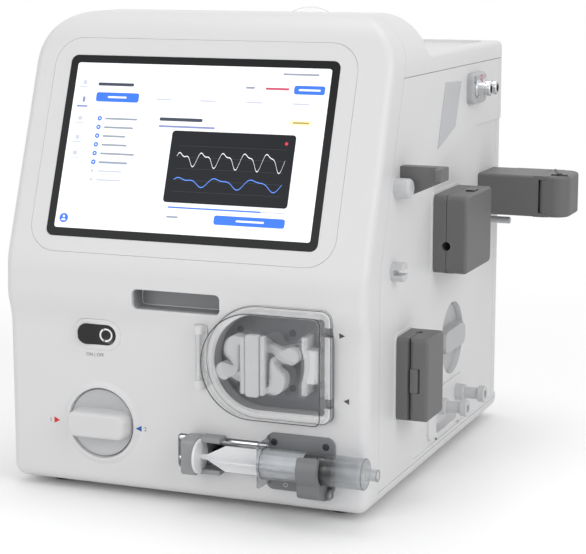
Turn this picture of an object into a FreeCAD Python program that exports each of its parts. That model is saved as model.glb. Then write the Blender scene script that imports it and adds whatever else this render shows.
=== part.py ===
import FreeCAD, Part
import math
import os

# Dialysis machine: a housing with a leaning touch screen, a blood pump and a syringe pump
# on the front, and tube holders, dial and couplings on the right side.
# Millimetres. X runs to the right of the housing, Y to its back, Z up. The pieces are laid
# out from the housing's centre plane, its lower front face and the floor, and export()
# moves them so that the origin is the middle of the footprint, on the floor.

V = FreeCAD.Vector

# Housing
HOUSING_WIDTH = 370.0
HOUSING_DEPTH = 437.0
FOOT_HEIGHT = 8.0
HOOD_TOP = 458.0
HOOD_BACK = 170.0
DECK_TOP = 419.5
WALL = 3.0
SIDE_WALL = 5.0
SEAM_GAP = 0.6
NOSE_REACH = 7.0
NOSE_START = 168.0
NOSE_HEIGHT = 190.0
SCREEN_FOOT = 228.0
SCREEN_FOOT_REACH = 5.0
SCREEN_LEAN = 20.3
HOOD_ROLL_RADIUS = 42.0
TOP_CORNER_RADIUS = 50.0
BOTTOM_CORNER_RADIUS = 13.0
TRIM = 0.4
FRONT_EDGE_RADIUS = 9.0
BACK_EDGE_RADIUS = 5.0
FRONT_SHELL_DEPTH = 38.0
COVER_SEAM_HEIGHT = 401.5
TRAY_HEIGHT = 22.0
CORNER_RETURN = 14.0
DECK_TRAY_DEPTH = 5.0
DECK_TRAY_MARGIN = 16.0
FOOT_RADIUS = 12.0
FOOT_INSET = 38.0
CUP_WALL = 2.5
SCREW_HEAD_RADIUS = 3.4
SCREW_SHANK_RADIUS = 1.6
LAP_THICKNESS = 2.0
LAP_REACH = 8.0

# Clearances
FIT_GAP = 0.3
PIN_GAP = 0.05
SWING_GAP = 0.5

# Display
DISPLAY_SHIFT = -5.0
GLASS_WIDTH = 277.5
GLASS_HEIGHT = 178.5
GLASS_UP = 23.3
BEZEL_WIDTH = 312.0
BEZEL_HEIGHT = 211.0
BEZEL_UP = 8.3
BEZEL_THICKNESS = 1.6
BEZEL_RADIUS = 28.0
BEZEL_LEDGE = 8.0
GLASS_RADIUS = 7.0
GLASS_PROUD = 0.3
DISPLAY_DEPTH = 12.0

# Grip recess above the pump
GRIP_X = -3.5
GRIP_WIDTH = 90.0
GRIP_LOW = 186.0
GRIP_HIGH = 205.0
GRIP_DEPTH = 16.0

# Power switch
SWITCH_X = -89.0
SWITCH_Z = 157.2
SWITCH_WIDTH = 41.0
SWITCH_HEIGHT = 20.0
SWITCH_RIM = 2.4
SWITCH_DEPTH = 9.0
ROCKER_TILT = 7.0
ROCKER_PIVOT_Y = 4.0
ROCKER_PIN_RADIUS = 1.5
ROCKER_DISH_BALL = 30.0

# Selector knob on the front and dial on the side
KNOB_X = -85.9
KNOB_Z = 70.4
KNOB_RADIUS = 33.0
KNOB_DISH = 5.0
KNOB_RING = 1.6
KNOB_GRIP_LENGTH = 55.0
KNOB_GRIP_HEIGHT = 25.0
KNOB_GRIP_REACH = 13.0
DIAL_Y = 269.0
DIAL_Z = 121.6
DIAL_RADIUS = 37.5
DIAL_GRIP_HEIGHT = 26.0
DIAL_DISH = 9.0
DIAL_GRIP_REACH = 4.5
KNOB_SHAFT_RADIUS = 5.0
KNOB_SHAFT_LENGTH = 18.0

# Blood pump
PUMP_X = 81.5
PUMP_Z = 145.5
COVER_RADIUS = 52.5
BASE_RADIUS = 53.0
COVER_RIGHT = 152.0
COVER_DEPTH = 29.5
COVER_DRAFT = 2.5
COVER_WALL = 2.4
COVER_CORNER = 9.0
COVER_HINGE_X = 20.5
COVER_HINGE_Y = -6.5
COVER_PIN_RADIUS = 1.6
HINGE_BLOCK_HALF = 30.0
HINGE_EAR = 8.0
HINGE_PLATE_HALF = 6.5
RACEWAY_RADIUS = 45.0
PUMP_WELL = 10.5
PUMP_RISE = 8.0
PUMP_FLOOR = 3.5
PUMP_SCREW_SPACING = 52.0
LEG_RIGHT = 146.0
TUBE_CHANNEL = 9.0
TUBE_CHANNEL_OFFSET = 33.0
ROLLER_CIRCLE = 34.4
ROLLER_RADIUS = 7.2
ROLLER_LENGTH = 13.0
ROLLER_PIN_RADIUS = 2.0
ROLLER_ANGLE = 16.0
ROTOR_PLATE = 1.8
ROTOR_HUB_RADIUS = 15.0
ROTOR_FRONT_PLATE = 7.0
ROTOR_SHAFT_RADIUS = 5.0
GRIP_BAR_WIDTH = 26.0
GRIP_BAR_LENGTH = 58.0
GRIP_BAR_THICKNESS = 6.5
GRIP_BAR_FACE = -26.0
GRIP_RIB_PITCH = 4.2
ROTOR_END_RADIUS = 9.4
GUIDE_ANGLE = 143.0
GUIDE_CIRCLE = 23.0
GUIDE_RADIUS = 7.5
SEGMENT_HOLDER_X = 123.5
SEGMENT_HOLDER_HALF = 27.0
PUMP_MOTOR_RADIUS = 26.0

# Syringe pump
SYRINGE_Y = -18.0
SYRINGE_Z = 53.7
BARREL_RADIUS = 14.6
BARREL_WALL = 1.1
BARREL_START = 88.5
BARREL_LENGTH = 100.0
TIP_LENGTH = 13.0
TIP_RADIUS = 2.9
COLLAR_RADIUS = 6.2
FLANGE_HEIGHT = 46.0
FLANGE_THICKNESS = 2.4
FLANGE_SEAT = 1.7
THUMB_X = 24.2
THUMB_RADIUS = 16.4
THUMB_THICKNESS = 2.6
STOPPER_X = 132.0
STOPPER_LENGTH = 14.0
RIB_THICKNESS = 1.6
SLOT_LEFT = -5.0
SLOT_RIGHT = 86.0
SLOT_LOW = 35.0
SLOT_HIGH = 68.5
SLOT_DEPTH = 14.0
SLIT_HEIGHT = 9.0
PLATE_LEFT = 86.0
PLATE_RIGHT = 154.0
PLATE_LOW = 25.0
PLATE_HIGH = 79.0
PLATE_THICKNESS = 3.1
DRIVER_LEFT = 9.0
DRIVER_CLAW_RIGHT = 45.0
DRIVER_FRONT = -27.0
ROD_RADIUS = 4.0
ROD_Y = 5.5
ROD_SPACING = 20.0
LEAD_SCREW_RADIUS = 3.0
LEAD_SCREW_Y = 27.0
THREAD_PITCH = 5.0
CLAMP_LEFT = 129.0
CLAMP_WIDTH = 20.0
CLAMP_PIN_Y = -9.0
CLAMP_PIN_Z = 27.0
CLAMP_PIN_RADIUS = 2.0
CLAMP_LUG = 2.6
CLAMP_WALL = 5.4

# Side attachments
RECESS_DEPTH = 2.4
SEAT_PROUD = 1.0
SEAT_RIM = 2.6
DETECTOR_FRONT = 194.0
DETECTOR_BACK = 284.0
DETECTOR_LOW = 202.0
DETECTOR_HIGH = 280.0
DETECTOR_SEAM = 12.0
DETECTOR_REACH = 33.0
DETECTOR_PIN_RADIUS = 1.5
DETECTOR_TUBE_Z = 229.5
DETECTOR_TUBE_RADIUS = 4.4
LATCH_Y = 240.0
LATCH_WIDTH = 16.0
CLIP_BOX_FRONT = 76.0
CLIP_BOX_BACK = 127.0
CLIP_BOX_LOW = 80.5
CLIP_BOX_HIGH = 160.5
CLIP_BOX_SEAM = 13.5
CLIP_BOX_REACH = 32.0
CLIP_BOX_TUBE_RADIUS = 3.5
CLIP_TAB_LOW = 108.5
CLIP_TAB_HIGH = 131.5
CLIP_KNUCKLE = 4.4
CLIP_PIN_RADIUS = 1.5
CLIP_RELIEF_WIDTH = 1.7
CLIP_RELIEF_DEPTH = 4.2
ARM_FRONT = 354.5
ARM_BACK = 418.0
ARM_LOW = 239.5
ARM_HIGH = 283.0
ARM_REACH = 95.0
ARM_END_RADIUS = 16.0
BAY_X = 51.0
BAY_Y = 405.0
BAY_RADIUS = 21.0
JAW_X = 63.5
JAW_PIN_X = 69.3
JAW_PIN_Y = 361.0
JAW_PIN_RADIUS = 2.5
JAW_FLANGE = 4.0
BRACKET_REACH = 43.0
BRACKET_FRONT = 84.5
BRACKET_THICKNESS = 13.5
BRACKET_TOP = 321.0
PEG_Y = 73.0
PEG_Z = 299.0
PEG_RADIUS = 9.8
PEG_REACH = 16.0
SMALL_PEG_Y = 400.0
SMALL_PEG_Z = 227.5
CLIP_Y = 67.0
CLIP_Z = 225.0
CLIP_RADIUS = 9.2
CLIP_SLOT = 5.0
COUPLING_Y = 324.0
COUPLING_SPACING = 24.0
COUPLING_Z = 376.0
COUPLING_RADIUS = 7.2
COUPLING_REACH = 15.0
COUPLING_BORE_RADIUS = 4.0
BOSS_HEIGHT = 32.0
BOSS_WIDTH = 50.0
BOSS_REACH = 7.5
PORT_Y = 213.0
PORT_SPACING = 64.0
PORT_Z = 62.5
PORT_RADIUS = 7.2
PORT_BORE_RADIUS = 4.0
PORT_REACH = 27.0
PORT_PLATE_LOW = 30.0
PORT_PLATE_HIGH = 79.0
SCOOP_FRONT = 208.0
SCOOP_BACK = 278.0
SCOOP_LOW = 34.0
SCOOP_HEIGHT = 16.0
SCOOP_DEPTH = 8.0

# Deck hoop
HOOP_X = 5.0
HOOP_Y = 320.0
HOOP_RADIUS = 42.0
HOOP_WIRE_RADIUS = 2.2

# Mains inlet in the rear panel
INLET_X = 110.0
INLET_Z = 75.0

RIGHT = HOUSING_WIDTH / 2
CLAMP_FRONT = SYRINGE_Y - BARREL_RADIUS - FIT_GAP - CLAMP_WALL
ORIGIN = V(ARM_REACH / 2, (CLAMP_FRONT + HOUSING_DEPTH) / 2, 0)


def place(plane, u, v, level):
    """Point at (u, v) on a plane that is named by its two axes, at a level on the third."""
    if plane == "xy":
        return V(u, v, level)
    if plane == "xz":
        return V(u, level, v)
    return V(level, u, v)


def normal(plane, length):
    """Vector of a length square to a plane."""
    return place(plane, 0, 0, length)


def outline(corners, plane, level):
    """Closed wire through corners (u, v, radius), each corner rounded by its radius."""
    edges = []
    ends = []
    count = len(corners)
    for index in range(count):
        before = corners[index - 1]
        here = corners[index]
        after = corners[(index + 1) % count]
        ends.append(corner_arc(before, here, after))
    for index in range(count):
        start, middle, end = ends[index]
        following = ends[(index + 1) % count][0]
        if middle is not None:
            points = [place(plane, p[0], p[1], level) for p in (start, middle, end)]
            edges.append(Part.Arc(*points).toShape())
        first = place(plane, end[0], end[1], level)
        last = place(plane, following[0], following[1], level)
        if first.distanceToPoint(last) > 1e-6:
            edges.append(Part.makeLine(first, last))
    return Part.Wire(edges)


def corner_arc(before, here, after):
    """Start, middle and end of the arc that rounds a corner; no middle for a sharp one."""
    radius = here[2]
    if radius == 0:
        return (here[:2], None, here[:2])
    back = math.hypot(before[0] - here[0], before[1] - here[1])
    ahead = math.hypot(after[0] - here[0], after[1] - here[1])
    back_dir = ((before[0] - here[0]) / back, (before[1] - here[1]) / back)
    ahead_dir = ((after[0] - here[0]) / ahead, (after[1] - here[1]) / ahead)
    cosine = back_dir[0] * ahead_dir[0] + back_dir[1] * ahead_dir[1]
    half = math.acos(max(-1.0, min(1.0, cosine))) / 2
    reach = radius / math.tan(half)
    start = (here[0] + back_dir[0] * reach, here[1] + back_dir[1] * reach)
    end = (here[0] + ahead_dir[0] * reach, here[1] + ahead_dir[1] * reach)
    bisector = (back_dir[0] + ahead_dir[0], back_dir[1] + ahead_dir[1])
    length = math.hypot(*bisector)
    sagitta = radius / math.sin(half) - radius
    middle = (here[0] + bisector[0] / length * sagitta, here[1] + bisector[1] / length * sagitta)
    return (start, middle, end)


def prism(corners, plane, start, end):
    """Solid of a rounded outline from one level to another."""
    face = Part.Face(outline(corners, plane, start))
    return face.extrude(normal(plane, end - start))


def rectangle(u0, u1, v0, v1, radius=0.0):
    """Corners of a rectangle with one corner radius."""
    return [(u0, v0, radius), (u1, v0, radius), (u1, v1, radius), (u0, v1, radius)]


def box(x0, x1, y0, y1, z0, z1):
    """Plain block between two opposite corners."""
    return Part.makeBox(x1 - x0, y1 - y0, z1 - z0, V(x0, y0, z0))


def rod(radius, start, end):
    """Cylinder of a radius from one point to another."""
    axis = end.sub(start)
    return Part.makeCylinder(radius, axis.Length, start, axis)


def tube(outer, inner, start, end):
    """Hollow cylinder from one point to another."""
    return rod(outer, start, end).cut(rod(inner, start, end))


def tapered(wires):
    """Solid through a list of like wires."""
    return Part.makeLoft(wires, True, True)


def join(shapes):
    """One solid from shapes that meet."""
    result = shapes[0]
    for shape in shapes[1:]:
        result = result.fuse(shape)
    return result.removeSplitter()


def rounded(shape, radius, wanted):
    """Fillet on the edges that a test picks by their middle point and length."""
    edges = []
    for edge in shape.Edges:
        middle = edge.valueAt((edge.FirstParameter + edge.LastParameter) / 2)
        if wanted(middle, edge):
            edges.append(edge)
    return shape.makeFillet(radius, edges)


def bevelled(shape, size, wanted):
    """Chamfer on the edges that a test picks by their middle point and length."""
    edges = []
    for edge in shape.Edges:
        middle = edge.valueAt((edge.FirstParameter + edge.LastParameter) / 2)
        if wanted(middle, edge):
            edges.append(edge)
    return shape.makeChamfer(size, edges)


def export(shapes, node):
    """One STEP file for a node, in the part's own frame."""
    group = []
    for shape in shapes:
        moved = shape.copy()
        moved.translate(ORIGIN.negative())
        group.extend(moved.Solids)
    whole = group[0] if len(group) == 1 else Part.makeCompound(group)
    whole.exportStep("parts/" + node + ".step")


# The leaning screen plane, given by its foot and its lean

LEAN = math.radians(SCREEN_LEAN)
SCREEN_UP = V(0, math.sin(LEAN), math.cos(LEAN))
SCREEN_OUT = V(0, -math.cos(LEAN), math.sin(LEAN))
SCREEN_BASE = V(DISPLAY_SHIFT, -SCREEN_FOOT_REACH, SCREEN_FOOT)


def screen_point(across, up, out):
    """Point on the leaning face, from the display's centre line and the face's foot."""
    return SCREEN_BASE + V(across, 0, 0) + SCREEN_UP * up + SCREEN_OUT * out


def screen_slab(width, height, up, back, front, radius):
    """Rounded plate that lies on the leaning face."""
    flat = prism(rectangle(-width / 2, width / 2, up, up + height, radius), "xy", back, front)
    matrix = FreeCAD.Matrix(1, 0, 0, SCREEN_BASE.x,
                            0, SCREEN_UP.y, SCREEN_OUT.y, SCREEN_BASE.y,
                            0, SCREEN_UP.z, SCREEN_OUT.z, SCREEN_BASE.z,
                            0, 0, 0, 1)
    return flat.transformed(matrix)


def lean_at(height):
    """Y of the leaning face at a height."""
    return -SCREEN_FOOT_REACH + (height - SCREEN_FOOT) * math.tan(LEAN)


# Housing


def side_profile(inset, plane_level):
    """Side view of the housing: soft nose, leaning face, hood and lower deck behind it."""
    low = FOOT_HEIGHT + inset - TRIM
    high = HOOD_TOP - inset + TRIM
    corners = [
        (inset, low, 10.0),
        (inset, NOSE_START, 55.0),
        (inset - NOSE_REACH, NOSE_HEIGHT, 45.0),
        (lean_at(SCREEN_FOOT) + inset, SCREEN_FOOT, 60.0),
        (lean_at(high) + inset / math.cos(LEAN), high, HOOD_ROLL_RADIUS),
        (HOOD_BACK - inset, high, 8.0),
        (HOOD_BACK + 4.0 - inset, DECK_TOP - inset, 5.0),
        (HOUSING_DEPTH - inset, DECK_TOP - inset, 6.0),
        (HOUSING_DEPTH - inset, low, 10.0),
    ]
    return outline(corners, "yz", plane_level)


def envelope(inset, side_inset):
    """Outer form of the housing, or its inner form when inset, a little too high and low."""
    half = RIGHT - side_inset
    side = Part.Face(side_profile(inset, -half)).extrude(V(2 * half, 0, 0))
    low = FOOT_HEIGHT + inset - TRIM
    high = HOOD_TOP - inset + TRIM
    front_view = [
        (-half, low, BOTTOM_CORNER_RADIUS - inset),
        (half, low, BOTTOM_CORNER_RADIUS - inset),
        (half, high, TOP_CORNER_RADIUS - inset),
        (-half, high, TOP_CORNER_RADIUS - inset),
    ]
    front = prism(front_view, "xz", -NOSE_REACH - FRONT_EDGE_RADIUS, HOUSING_DEPTH)
    return side.common(front)


def trimmed(form, inset):
    """Form cut level at the bottom and the top, so that the big corner rounds end cleanly."""
    return form.common(box(-RIGHT, RIGHT, -NOSE_REACH - 5.0, HOUSING_DEPTH,
                           FOOT_HEIGHT + inset, HOOD_TOP - inset))


def front_edge(half):
    """Test for the edges that run up the two sides of the front face."""
    def test(middle, edge):
        beside = abs(abs(middle.x) - half) < 0.2
        return beside and middle.y < lean_at(DECK_TOP) - WALL and middle.z > FOOT_HEIGHT + 12.0
    return test


def back_edge(half, back):
    """Test for the two upright edges at the back of the housing."""
    def test(middle, edge):
        return abs(abs(middle.x) - half) < 0.2 and abs(middle.y - back) < 0.2
    return test


def front_region(shift):
    """Everything ahead of the seam that runs beside the screen, for the split of the shell."""
    foot = FRONT_SHELL_DEPTH - 8.0 + shift
    head = foot + (HOOD_TOP + 20.0 - SCREEN_FOOT) * math.tan(LEAN)
    corners = [
        (-60.0, -20.0, 0),
        (foot, -20.0, 0),
        (foot, SCREEN_FOOT, 30.0),
        (head, HOOD_TOP + 20.0, 0),
        (-60.0, HOOD_TOP + 20.0, 0),
    ]
    return prism(corners, "yz", -RIGHT - 10, RIGHT + 10)


def side_recess():
    """Shallow field in the right side that carries the holders, the dial and the ports."""
    corners = [
        (127.8, 26.0, 12.0),
        (127.8, 196.7, 40.0),
        (138.4, 243.7, 20.0),
        (178.3, 277.2, 20.0),
        (212.0, 311.2, 25.0),
        (339.6, 335.8, 30.0),
        (HOUSING_DEPTH + 10.0, 335.8, 0),
        (HOUSING_DEPTH + 10.0, 26.0, 0),
    ]
    field = prism(corners, "yz", RIGHT - RECESS_DEPTH, RIGHT + 10.0)
    return rounded(field, RECESS_DEPTH - 0.4,
                   lambda middle, edge: abs(middle.x - (RIGHT - RECESS_DEPTH)) < 0.01
                   and middle.y < HOUSING_DEPTH)


def lap_strip(side, corners):
    """Strip behind a seam of the side wall that laps both panels."""
    inner = RIGHT - SIDE_WALL
    start = inner - LAP_THICKNESS if side > 0 else -inner
    return prism(corners, "yz", start, start + LAP_THICKNESS)


def shell_parts():
    """The six shells of the housing, cut from one thick skin along their seams."""
    outer = rounded(envelope(0, 0), FRONT_EDGE_RADIUS, front_edge(RIGHT))
    outer = rounded(outer, BACK_EDGE_RADIUS, back_edge(RIGHT, HOUSING_DEPTH))
    inner = trimmed(envelope(WALL, SIDE_WALL), WALL)
    skin = trimmed(outer, 0).cut(inner).cut(side_recess())
    front = skin.common(front_region(0))
    rest = skin.cut(front_region(SEAM_GAP))
    wide = RIGHT + 20.0
    deep = HOUSING_DEPTH + 20.0
    rear_line = HOUSING_DEPTH - CORNER_RETURN
    cover = rest.common(box(-wide, wide, 0, deep, COVER_SEAM_HEIGHT, HOOD_TOP + 20.0))
    tray = rest.common(box(-wide, wide, 0, deep, 0, TRAY_HEIGHT))
    ring = rest.common(box(-wide, wide, 0, deep, TRAY_HEIGHT + SEAM_GAP,
                           COVER_SEAM_HEIGHT - SEAM_GAP))
    rear = ring.common(box(-wide, wide, rear_line, deep, 0, HOOD_TOP))
    sides = ring.common(box(-wide, wide, 0, rear_line - SEAM_GAP, 0, HOOD_TOP))
    left = sides.common(box(-wide, 0, 0, deep, 0, HOOD_TOP))
    right = sides.common(box(0, wide, 0, deep, 0, HOOD_TOP))
    return front, left, right, cover, rear, tray


def seam_laps(front, cover, rear, tray):
    """Strips that reach behind the side panels from the four shells that hold them."""
    seam = front_region(0)
    for side in (-1, 1):
        long_strip = lap_strip(side, rectangle(-20.0, 160.0, 30.0, 390.0))
        strip = long_strip.common(front_region(LAP_REACH)).cut(front_region(-LAP_REACH))
        front = front.fuse(strip)
        level = COVER_SEAM_HEIGHT
        cover = cover.fuse(lap_strip(side, rectangle(130.0, 400.0, level - LAP_REACH,
                                                     level + LAP_REACH)))
        tray = tray.fuse(lap_strip(side, rectangle(60.0, 400.0, TRAY_HEIGHT - LAP_REACH,
                                                   TRAY_HEIGHT + LAP_REACH)))
        line = HOUSING_DEPTH - CORNER_RETURN
        rear = rear.fuse(lap_strip(side, rectangle(line - LAP_REACH, line + LAP_REACH,
                                                   45.0, 380.0)))
    roof = box(-110.0, 110.0, 95.0, 135.0, HOOD_TOP - WALL - LAP_THICKNESS, HOOD_TOP - WALL)
    front = front.fuse(roof.common(front_region(LAP_REACH)))
    floor = box(-140.0, 140.0, 15.0, 45.0, FOOT_HEIGHT + WALL,
                FOOT_HEIGHT + WALL + LAP_THICKNESS)
    front = front.fuse(floor)
    cover_lip = box(-150.0, 150.0, HOUSING_DEPTH - WALL - LAP_THICKNESS, HOUSING_DEPTH - WALL,
                    COVER_SEAM_HEIGHT - LAP_REACH, COVER_SEAM_HEIGHT + LAP_REACH)
    tray_lip = box(-150.0, 150.0, HOUSING_DEPTH - WALL - LAP_THICKNESS, HOUSING_DEPTH - WALL,
                   TRAY_HEIGHT - LAP_REACH, TRAY_HEIGHT + LAP_REACH)
    return front, cover.fuse(cover_lip), rear, tray.fuse(tray_lip)


def pill(x, z, width, height, start, end):
    """Lying rounded bar with full round ends, drawn on the front."""
    return prism(rectangle(x - width / 2, x + width / 2, z - height / 2, z + height / 2,
                           height / 2 - 0.01), "xz", start, end)


def pump_form(radius, right, corner, start, end, grow=0.0):
    """Pump outline as a solid: round on the left, square with soft corners on the right."""
    wires = []
    for level, extra in ((start, 0.0), (end, grow)):
        reach = radius + extra
        edge = right + extra
        top = PUMP_Z + reach
        low = PUMP_Z - reach
        bend = corner * math.sqrt(0.5)
        inner = corner - bend
        arcs = [
            [(PUMP_X, top), (PUMP_X - reach, PUMP_Z), (PUMP_X, low)],
            [(edge - corner, low), (edge - inner, low + inner), (edge, low + corner)],
            [(edge, top - corner), (edge - inner, top - inner), (edge - corner, top)],
        ]
        edges = []
        for index in range(3):
            here = [place("xz", u, v, level) for u, v in arcs[index]]
            following = arcs[(index + 1) % 3][0]
            edges.append(Part.Arc(*here).toShape())
            edges.append(Part.makeLine(here[2], place("xz", *following, level)))
        wires.append(Part.Wire(edges))
    return tapered(wires)


def front_cuts(front):
    """Openings and cups of the front shell for everything that is let into it."""
    level = -BEZEL_THICKNESS
    front = front.cut(screen_slab(BEZEL_WIDTH + 2 * FIT_GAP, BEZEL_HEIGHT + 2 * FIT_GAP,
                                  BEZEL_UP - FIT_GAP, level, 10.0, BEZEL_RADIUS))
    front = front.cut(screen_slab(BEZEL_WIDTH - 2 * BEZEL_LEDGE, BEZEL_HEIGHT - 2 * BEZEL_LEDGE,
                                  BEZEL_UP + BEZEL_LEDGE, -20.0, 10.0,
                                  BEZEL_RADIUS - BEZEL_LEDGE))
    half = GRIP_WIDTH / 2
    cup = prism(rectangle(GRIP_X - half - CUP_WALL, GRIP_X + half + CUP_WALL,
                          GRIP_LOW - CUP_WALL, GRIP_HIGH + CUP_WALL, 7.5),
                "xz", -NOSE_REACH + 2.0, GRIP_DEPTH + CUP_WALL)
    recess = prism(rectangle(GRIP_X - half, GRIP_X + half, GRIP_LOW, GRIP_HIGH, 5.0),
                   "xz", -20.0, GRIP_DEPTH)
    recess = rounded(recess, 4.0, lambda middle, edge: abs(middle.y - GRIP_DEPTH) < 0.01)
    front = front.fuse(cup).cut(recess)
    front = front.cut(pill(SWITCH_X, SWITCH_Z, SWITCH_WIDTH + 2 * SWITCH_RIM + 2 * FIT_GAP,
                           SWITCH_HEIGHT + 2 * SWITCH_RIM + 2 * FIT_GAP, -20.0, WALL + 1.0))
    front = front.cut(pill(SWITCH_X, SWITCH_Z, SWITCH_WIDTH + 4 * SWITCH_RIM + 2 * FIT_GAP,
                           SWITCH_HEIGHT + 4 * SWITCH_RIM + 2 * FIT_GAP, -20.0, 0.0))
    knob = V(KNOB_X, 0, KNOB_Z)
    ring = Part.makeCone(KNOB_RADIUS + 8.0, KNOB_RADIUS + 4.0, KNOB_RING, knob, V(0, -1, 0))
    ring = rounded(ring, 1.0, lambda middle, edge: abs(middle.y + KNOB_RING) < 0.01)
    cup = rod(KNOB_RADIUS + 2 * CUP_WALL, knob + V(0, 0.5, 0), knob + V(0, KNOB_DISH + CUP_WALL, 0))
    dish = Part.makeCone(KNOB_RADIUS + 3.5, KNOB_RADIUS + FIT_GAP, KNOB_DISH + 10.0,
                         knob + V(0, -10.0, 0), V(0, 1, 0))
    bore = rod(KNOB_SHAFT_RADIUS + PIN_GAP, knob, knob + V(0, 20.0, 0))
    front = front.fuse(ring).fuse(cup).cut(dish).cut(bore)
    front = front.cut(pump_form(BASE_RADIUS + FIT_GAP, COVER_RIGHT + FIT_GAP, COVER_CORNER,
                                WALL + 2.0, -NOSE_REACH - 5.0))
    reach = HINGE_PLATE_HALF + FIT_GAP
    front = front.cut(prism(rectangle(COVER_HINGE_X - reach, COVER_HINGE_X + reach,
                                      PUMP_Z - HINGE_BLOCK_HALF - FIT_GAP,
                                      PUMP_Z + HINGE_BLOCK_HALF + FIT_GAP, 2.5),
                            "xz", 0.0, -NOSE_REACH - 5.0))
    cup = box(SLOT_LEFT - CUP_WALL, SLOT_RIGHT + CUP_WALL, 1.0, SLOT_DEPTH + CUP_WALL,
              SLOT_LOW - CUP_WALL, SLOT_HIGH + CUP_WALL)
    slot = prism(rectangle(SLOT_LEFT, SLOT_RIGHT, SLOT_LOW, SLOT_HIGH, 4.0), "xz", -5.0, SLOT_DEPTH)
    slit = box(SLOT_LEFT + 6.0, SLOT_RIGHT - 10.0, SLOT_DEPTH - 1.0, SLOT_DEPTH + 10.0,
               SYRINGE_Z - SLIT_HEIGHT / 2, SYRINGE_Z + SLIT_HEIGHT / 2)
    front = front.fuse(cup).cut(slot).cut(slit)
    for rise in (-ROD_SPACING / 2, ROD_SPACING / 2):
        front = front.cut(rod(ROD_RADIUS, V(SLOT_LEFT - 10, ROD_Y, SYRINGE_Z + rise),
                              V(SLOT_RIGHT + 10, ROD_Y, SYRINGE_Z + rise)))
    for x, z in plate_screw_places():
        front = front.cut(rod(SCREW_SHANK_RADIUS + 0.1, V(x, -1.0, z), V(x, 10.0, z)))
    return front.removeSplitter()


def deck_cuts(cover):
    """Shallow tray in the deck and the two sockets of the hoop."""
    margin = DECK_TRAY_MARGIN
    outer = rectangle(-RIGHT + margin - WALL, RIGHT - margin + WALL, HOOD_BACK + margin - WALL,
                      HOUSING_DEPTH - margin + WALL, 15.0)
    inner = rectangle(-RIGHT + margin, RIGHT - margin, HOOD_BACK + margin,
                      HOUSING_DEPTH - margin, 12.0)
    cup = prism(outer, "xy", DECK_TOP - DECK_TRAY_DEPTH - WALL, DECK_TOP - 1.0)
    tray = prism(inner, "xy", DECK_TOP - DECK_TRAY_DEPTH, DECK_TOP + 5.0)
    tray = rounded(tray, 3.0, lambda middle, edge:
                   abs(middle.z - DECK_TOP + DECK_TRAY_DEPTH) < 0.01)
    cover = cover.fuse(cup).cut(tray)
    for side in (-1, 1):
        x = HOOP_X + side * HOOP_RADIUS
        cover = cover.cut(rod(HOOP_WIRE_RADIUS + 0.1, V(x, HOOP_Y, hoop_foot()),
                              V(x, HOOP_Y, DECK_TOP)))
    return cover.removeSplitter()


def hoop_foot():
    """Height of the hoop's ends, a little below the floor of the deck tray."""
    return HOOD_TOP - 0.5 - HOOP_WIRE_RADIUS - HOOP_RADIUS


def panel_cuts(right):
    """Seats, pits and sockets of the right panel."""
    floor = RIGHT - RECESS_DEPTH
    for y0, y1, z0, z1, level in (
        (DETECTOR_FRONT, DETECTOR_BACK, DETECTOR_LOW, DETECTOR_HIGH, floor),
        (CLIP_BOX_FRONT, CLIP_BOX_BACK, CLIP_BOX_LOW, CLIP_BOX_HIGH, RIGHT),
    ):
        seat = prism(rectangle(y0 - SEAT_RIM, y1 + SEAT_RIM, z0 - SEAT_RIM, z1 + SEAT_RIM, 8.0),
                     "yz", level - 1.0, level + SEAT_PROUD)
        right = right.fuse(seat)
    dial = V(floor, DIAL_Y, DIAL_Z)
    pit_floor = floor - DIAL_DISH
    cup = rod(DIAL_RADIUS + CUP_WALL + 1.0, V(pit_floor - CUP_WALL, DIAL_Y, DIAL_Z),
              dial + V(-0.5, 0, 0))
    pit = rod(DIAL_RADIUS + FIT_GAP, V(pit_floor, DIAL_Y, DIAL_Z), dial + V(10.0, 0, 0))
    bore = rod(KNOB_SHAFT_RADIUS + PIN_GAP, dial + V(-40.0, 0, 0), dial)
    right = right.fuse(cup).cut(pit).cut(bore)
    hole = prism(rectangle(SCOOP_FRONT - CUP_WALL - FIT_GAP, SCOOP_BACK + CUP_WALL + FIT_GAP,
                           SCOOP_LOW - CUP_WALL - FIT_GAP,
                           SCOOP_LOW + SCOOP_HEIGHT + CUP_WALL + FIT_GAP, 6.0),
                 "yz", RIGHT - SIDE_WALL - 5.0, RIGHT + 5.0)
    right = right.cut(hole)
    return right.removeSplitter()


def make_housing():
    """Shells, feet and inlay."""
    front, left, right, cover, rear, tray = shell_parts()
    front, cover, rear, tray = seam_laps(front, cover, rear, tray)
    rear = rear.cut(prism(inlet_outline(FIT_GAP), "xz", HOUSING_DEPTH - 20.0,
                          HOUSING_DEPTH + 5.0))
    feet = []
    for x in (-RIGHT + FOOT_INSET, RIGHT - FOOT_INSET):
        for y in (FOOT_INSET, HOUSING_DEPTH - FOOT_INSET):
            foot = rod(FOOT_RADIUS, V(x, y, 0), V(x, y, FOOT_HEIGHT))
            feet.append(bevelled(foot, 1.0, lambda middle, edge: middle.z < 0.01))
    export([front_cuts(front)], "front_shell")
    export([left], "left_panel")
    export([panel_cuts(right)], "right_panel")
    export([deck_cuts(cover)], "top_cover")
    export([rear.removeSplitter()], "rear_panel")
    export([tray.removeSplitter()], "base_tray")
    export(feet, "feet")


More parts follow.
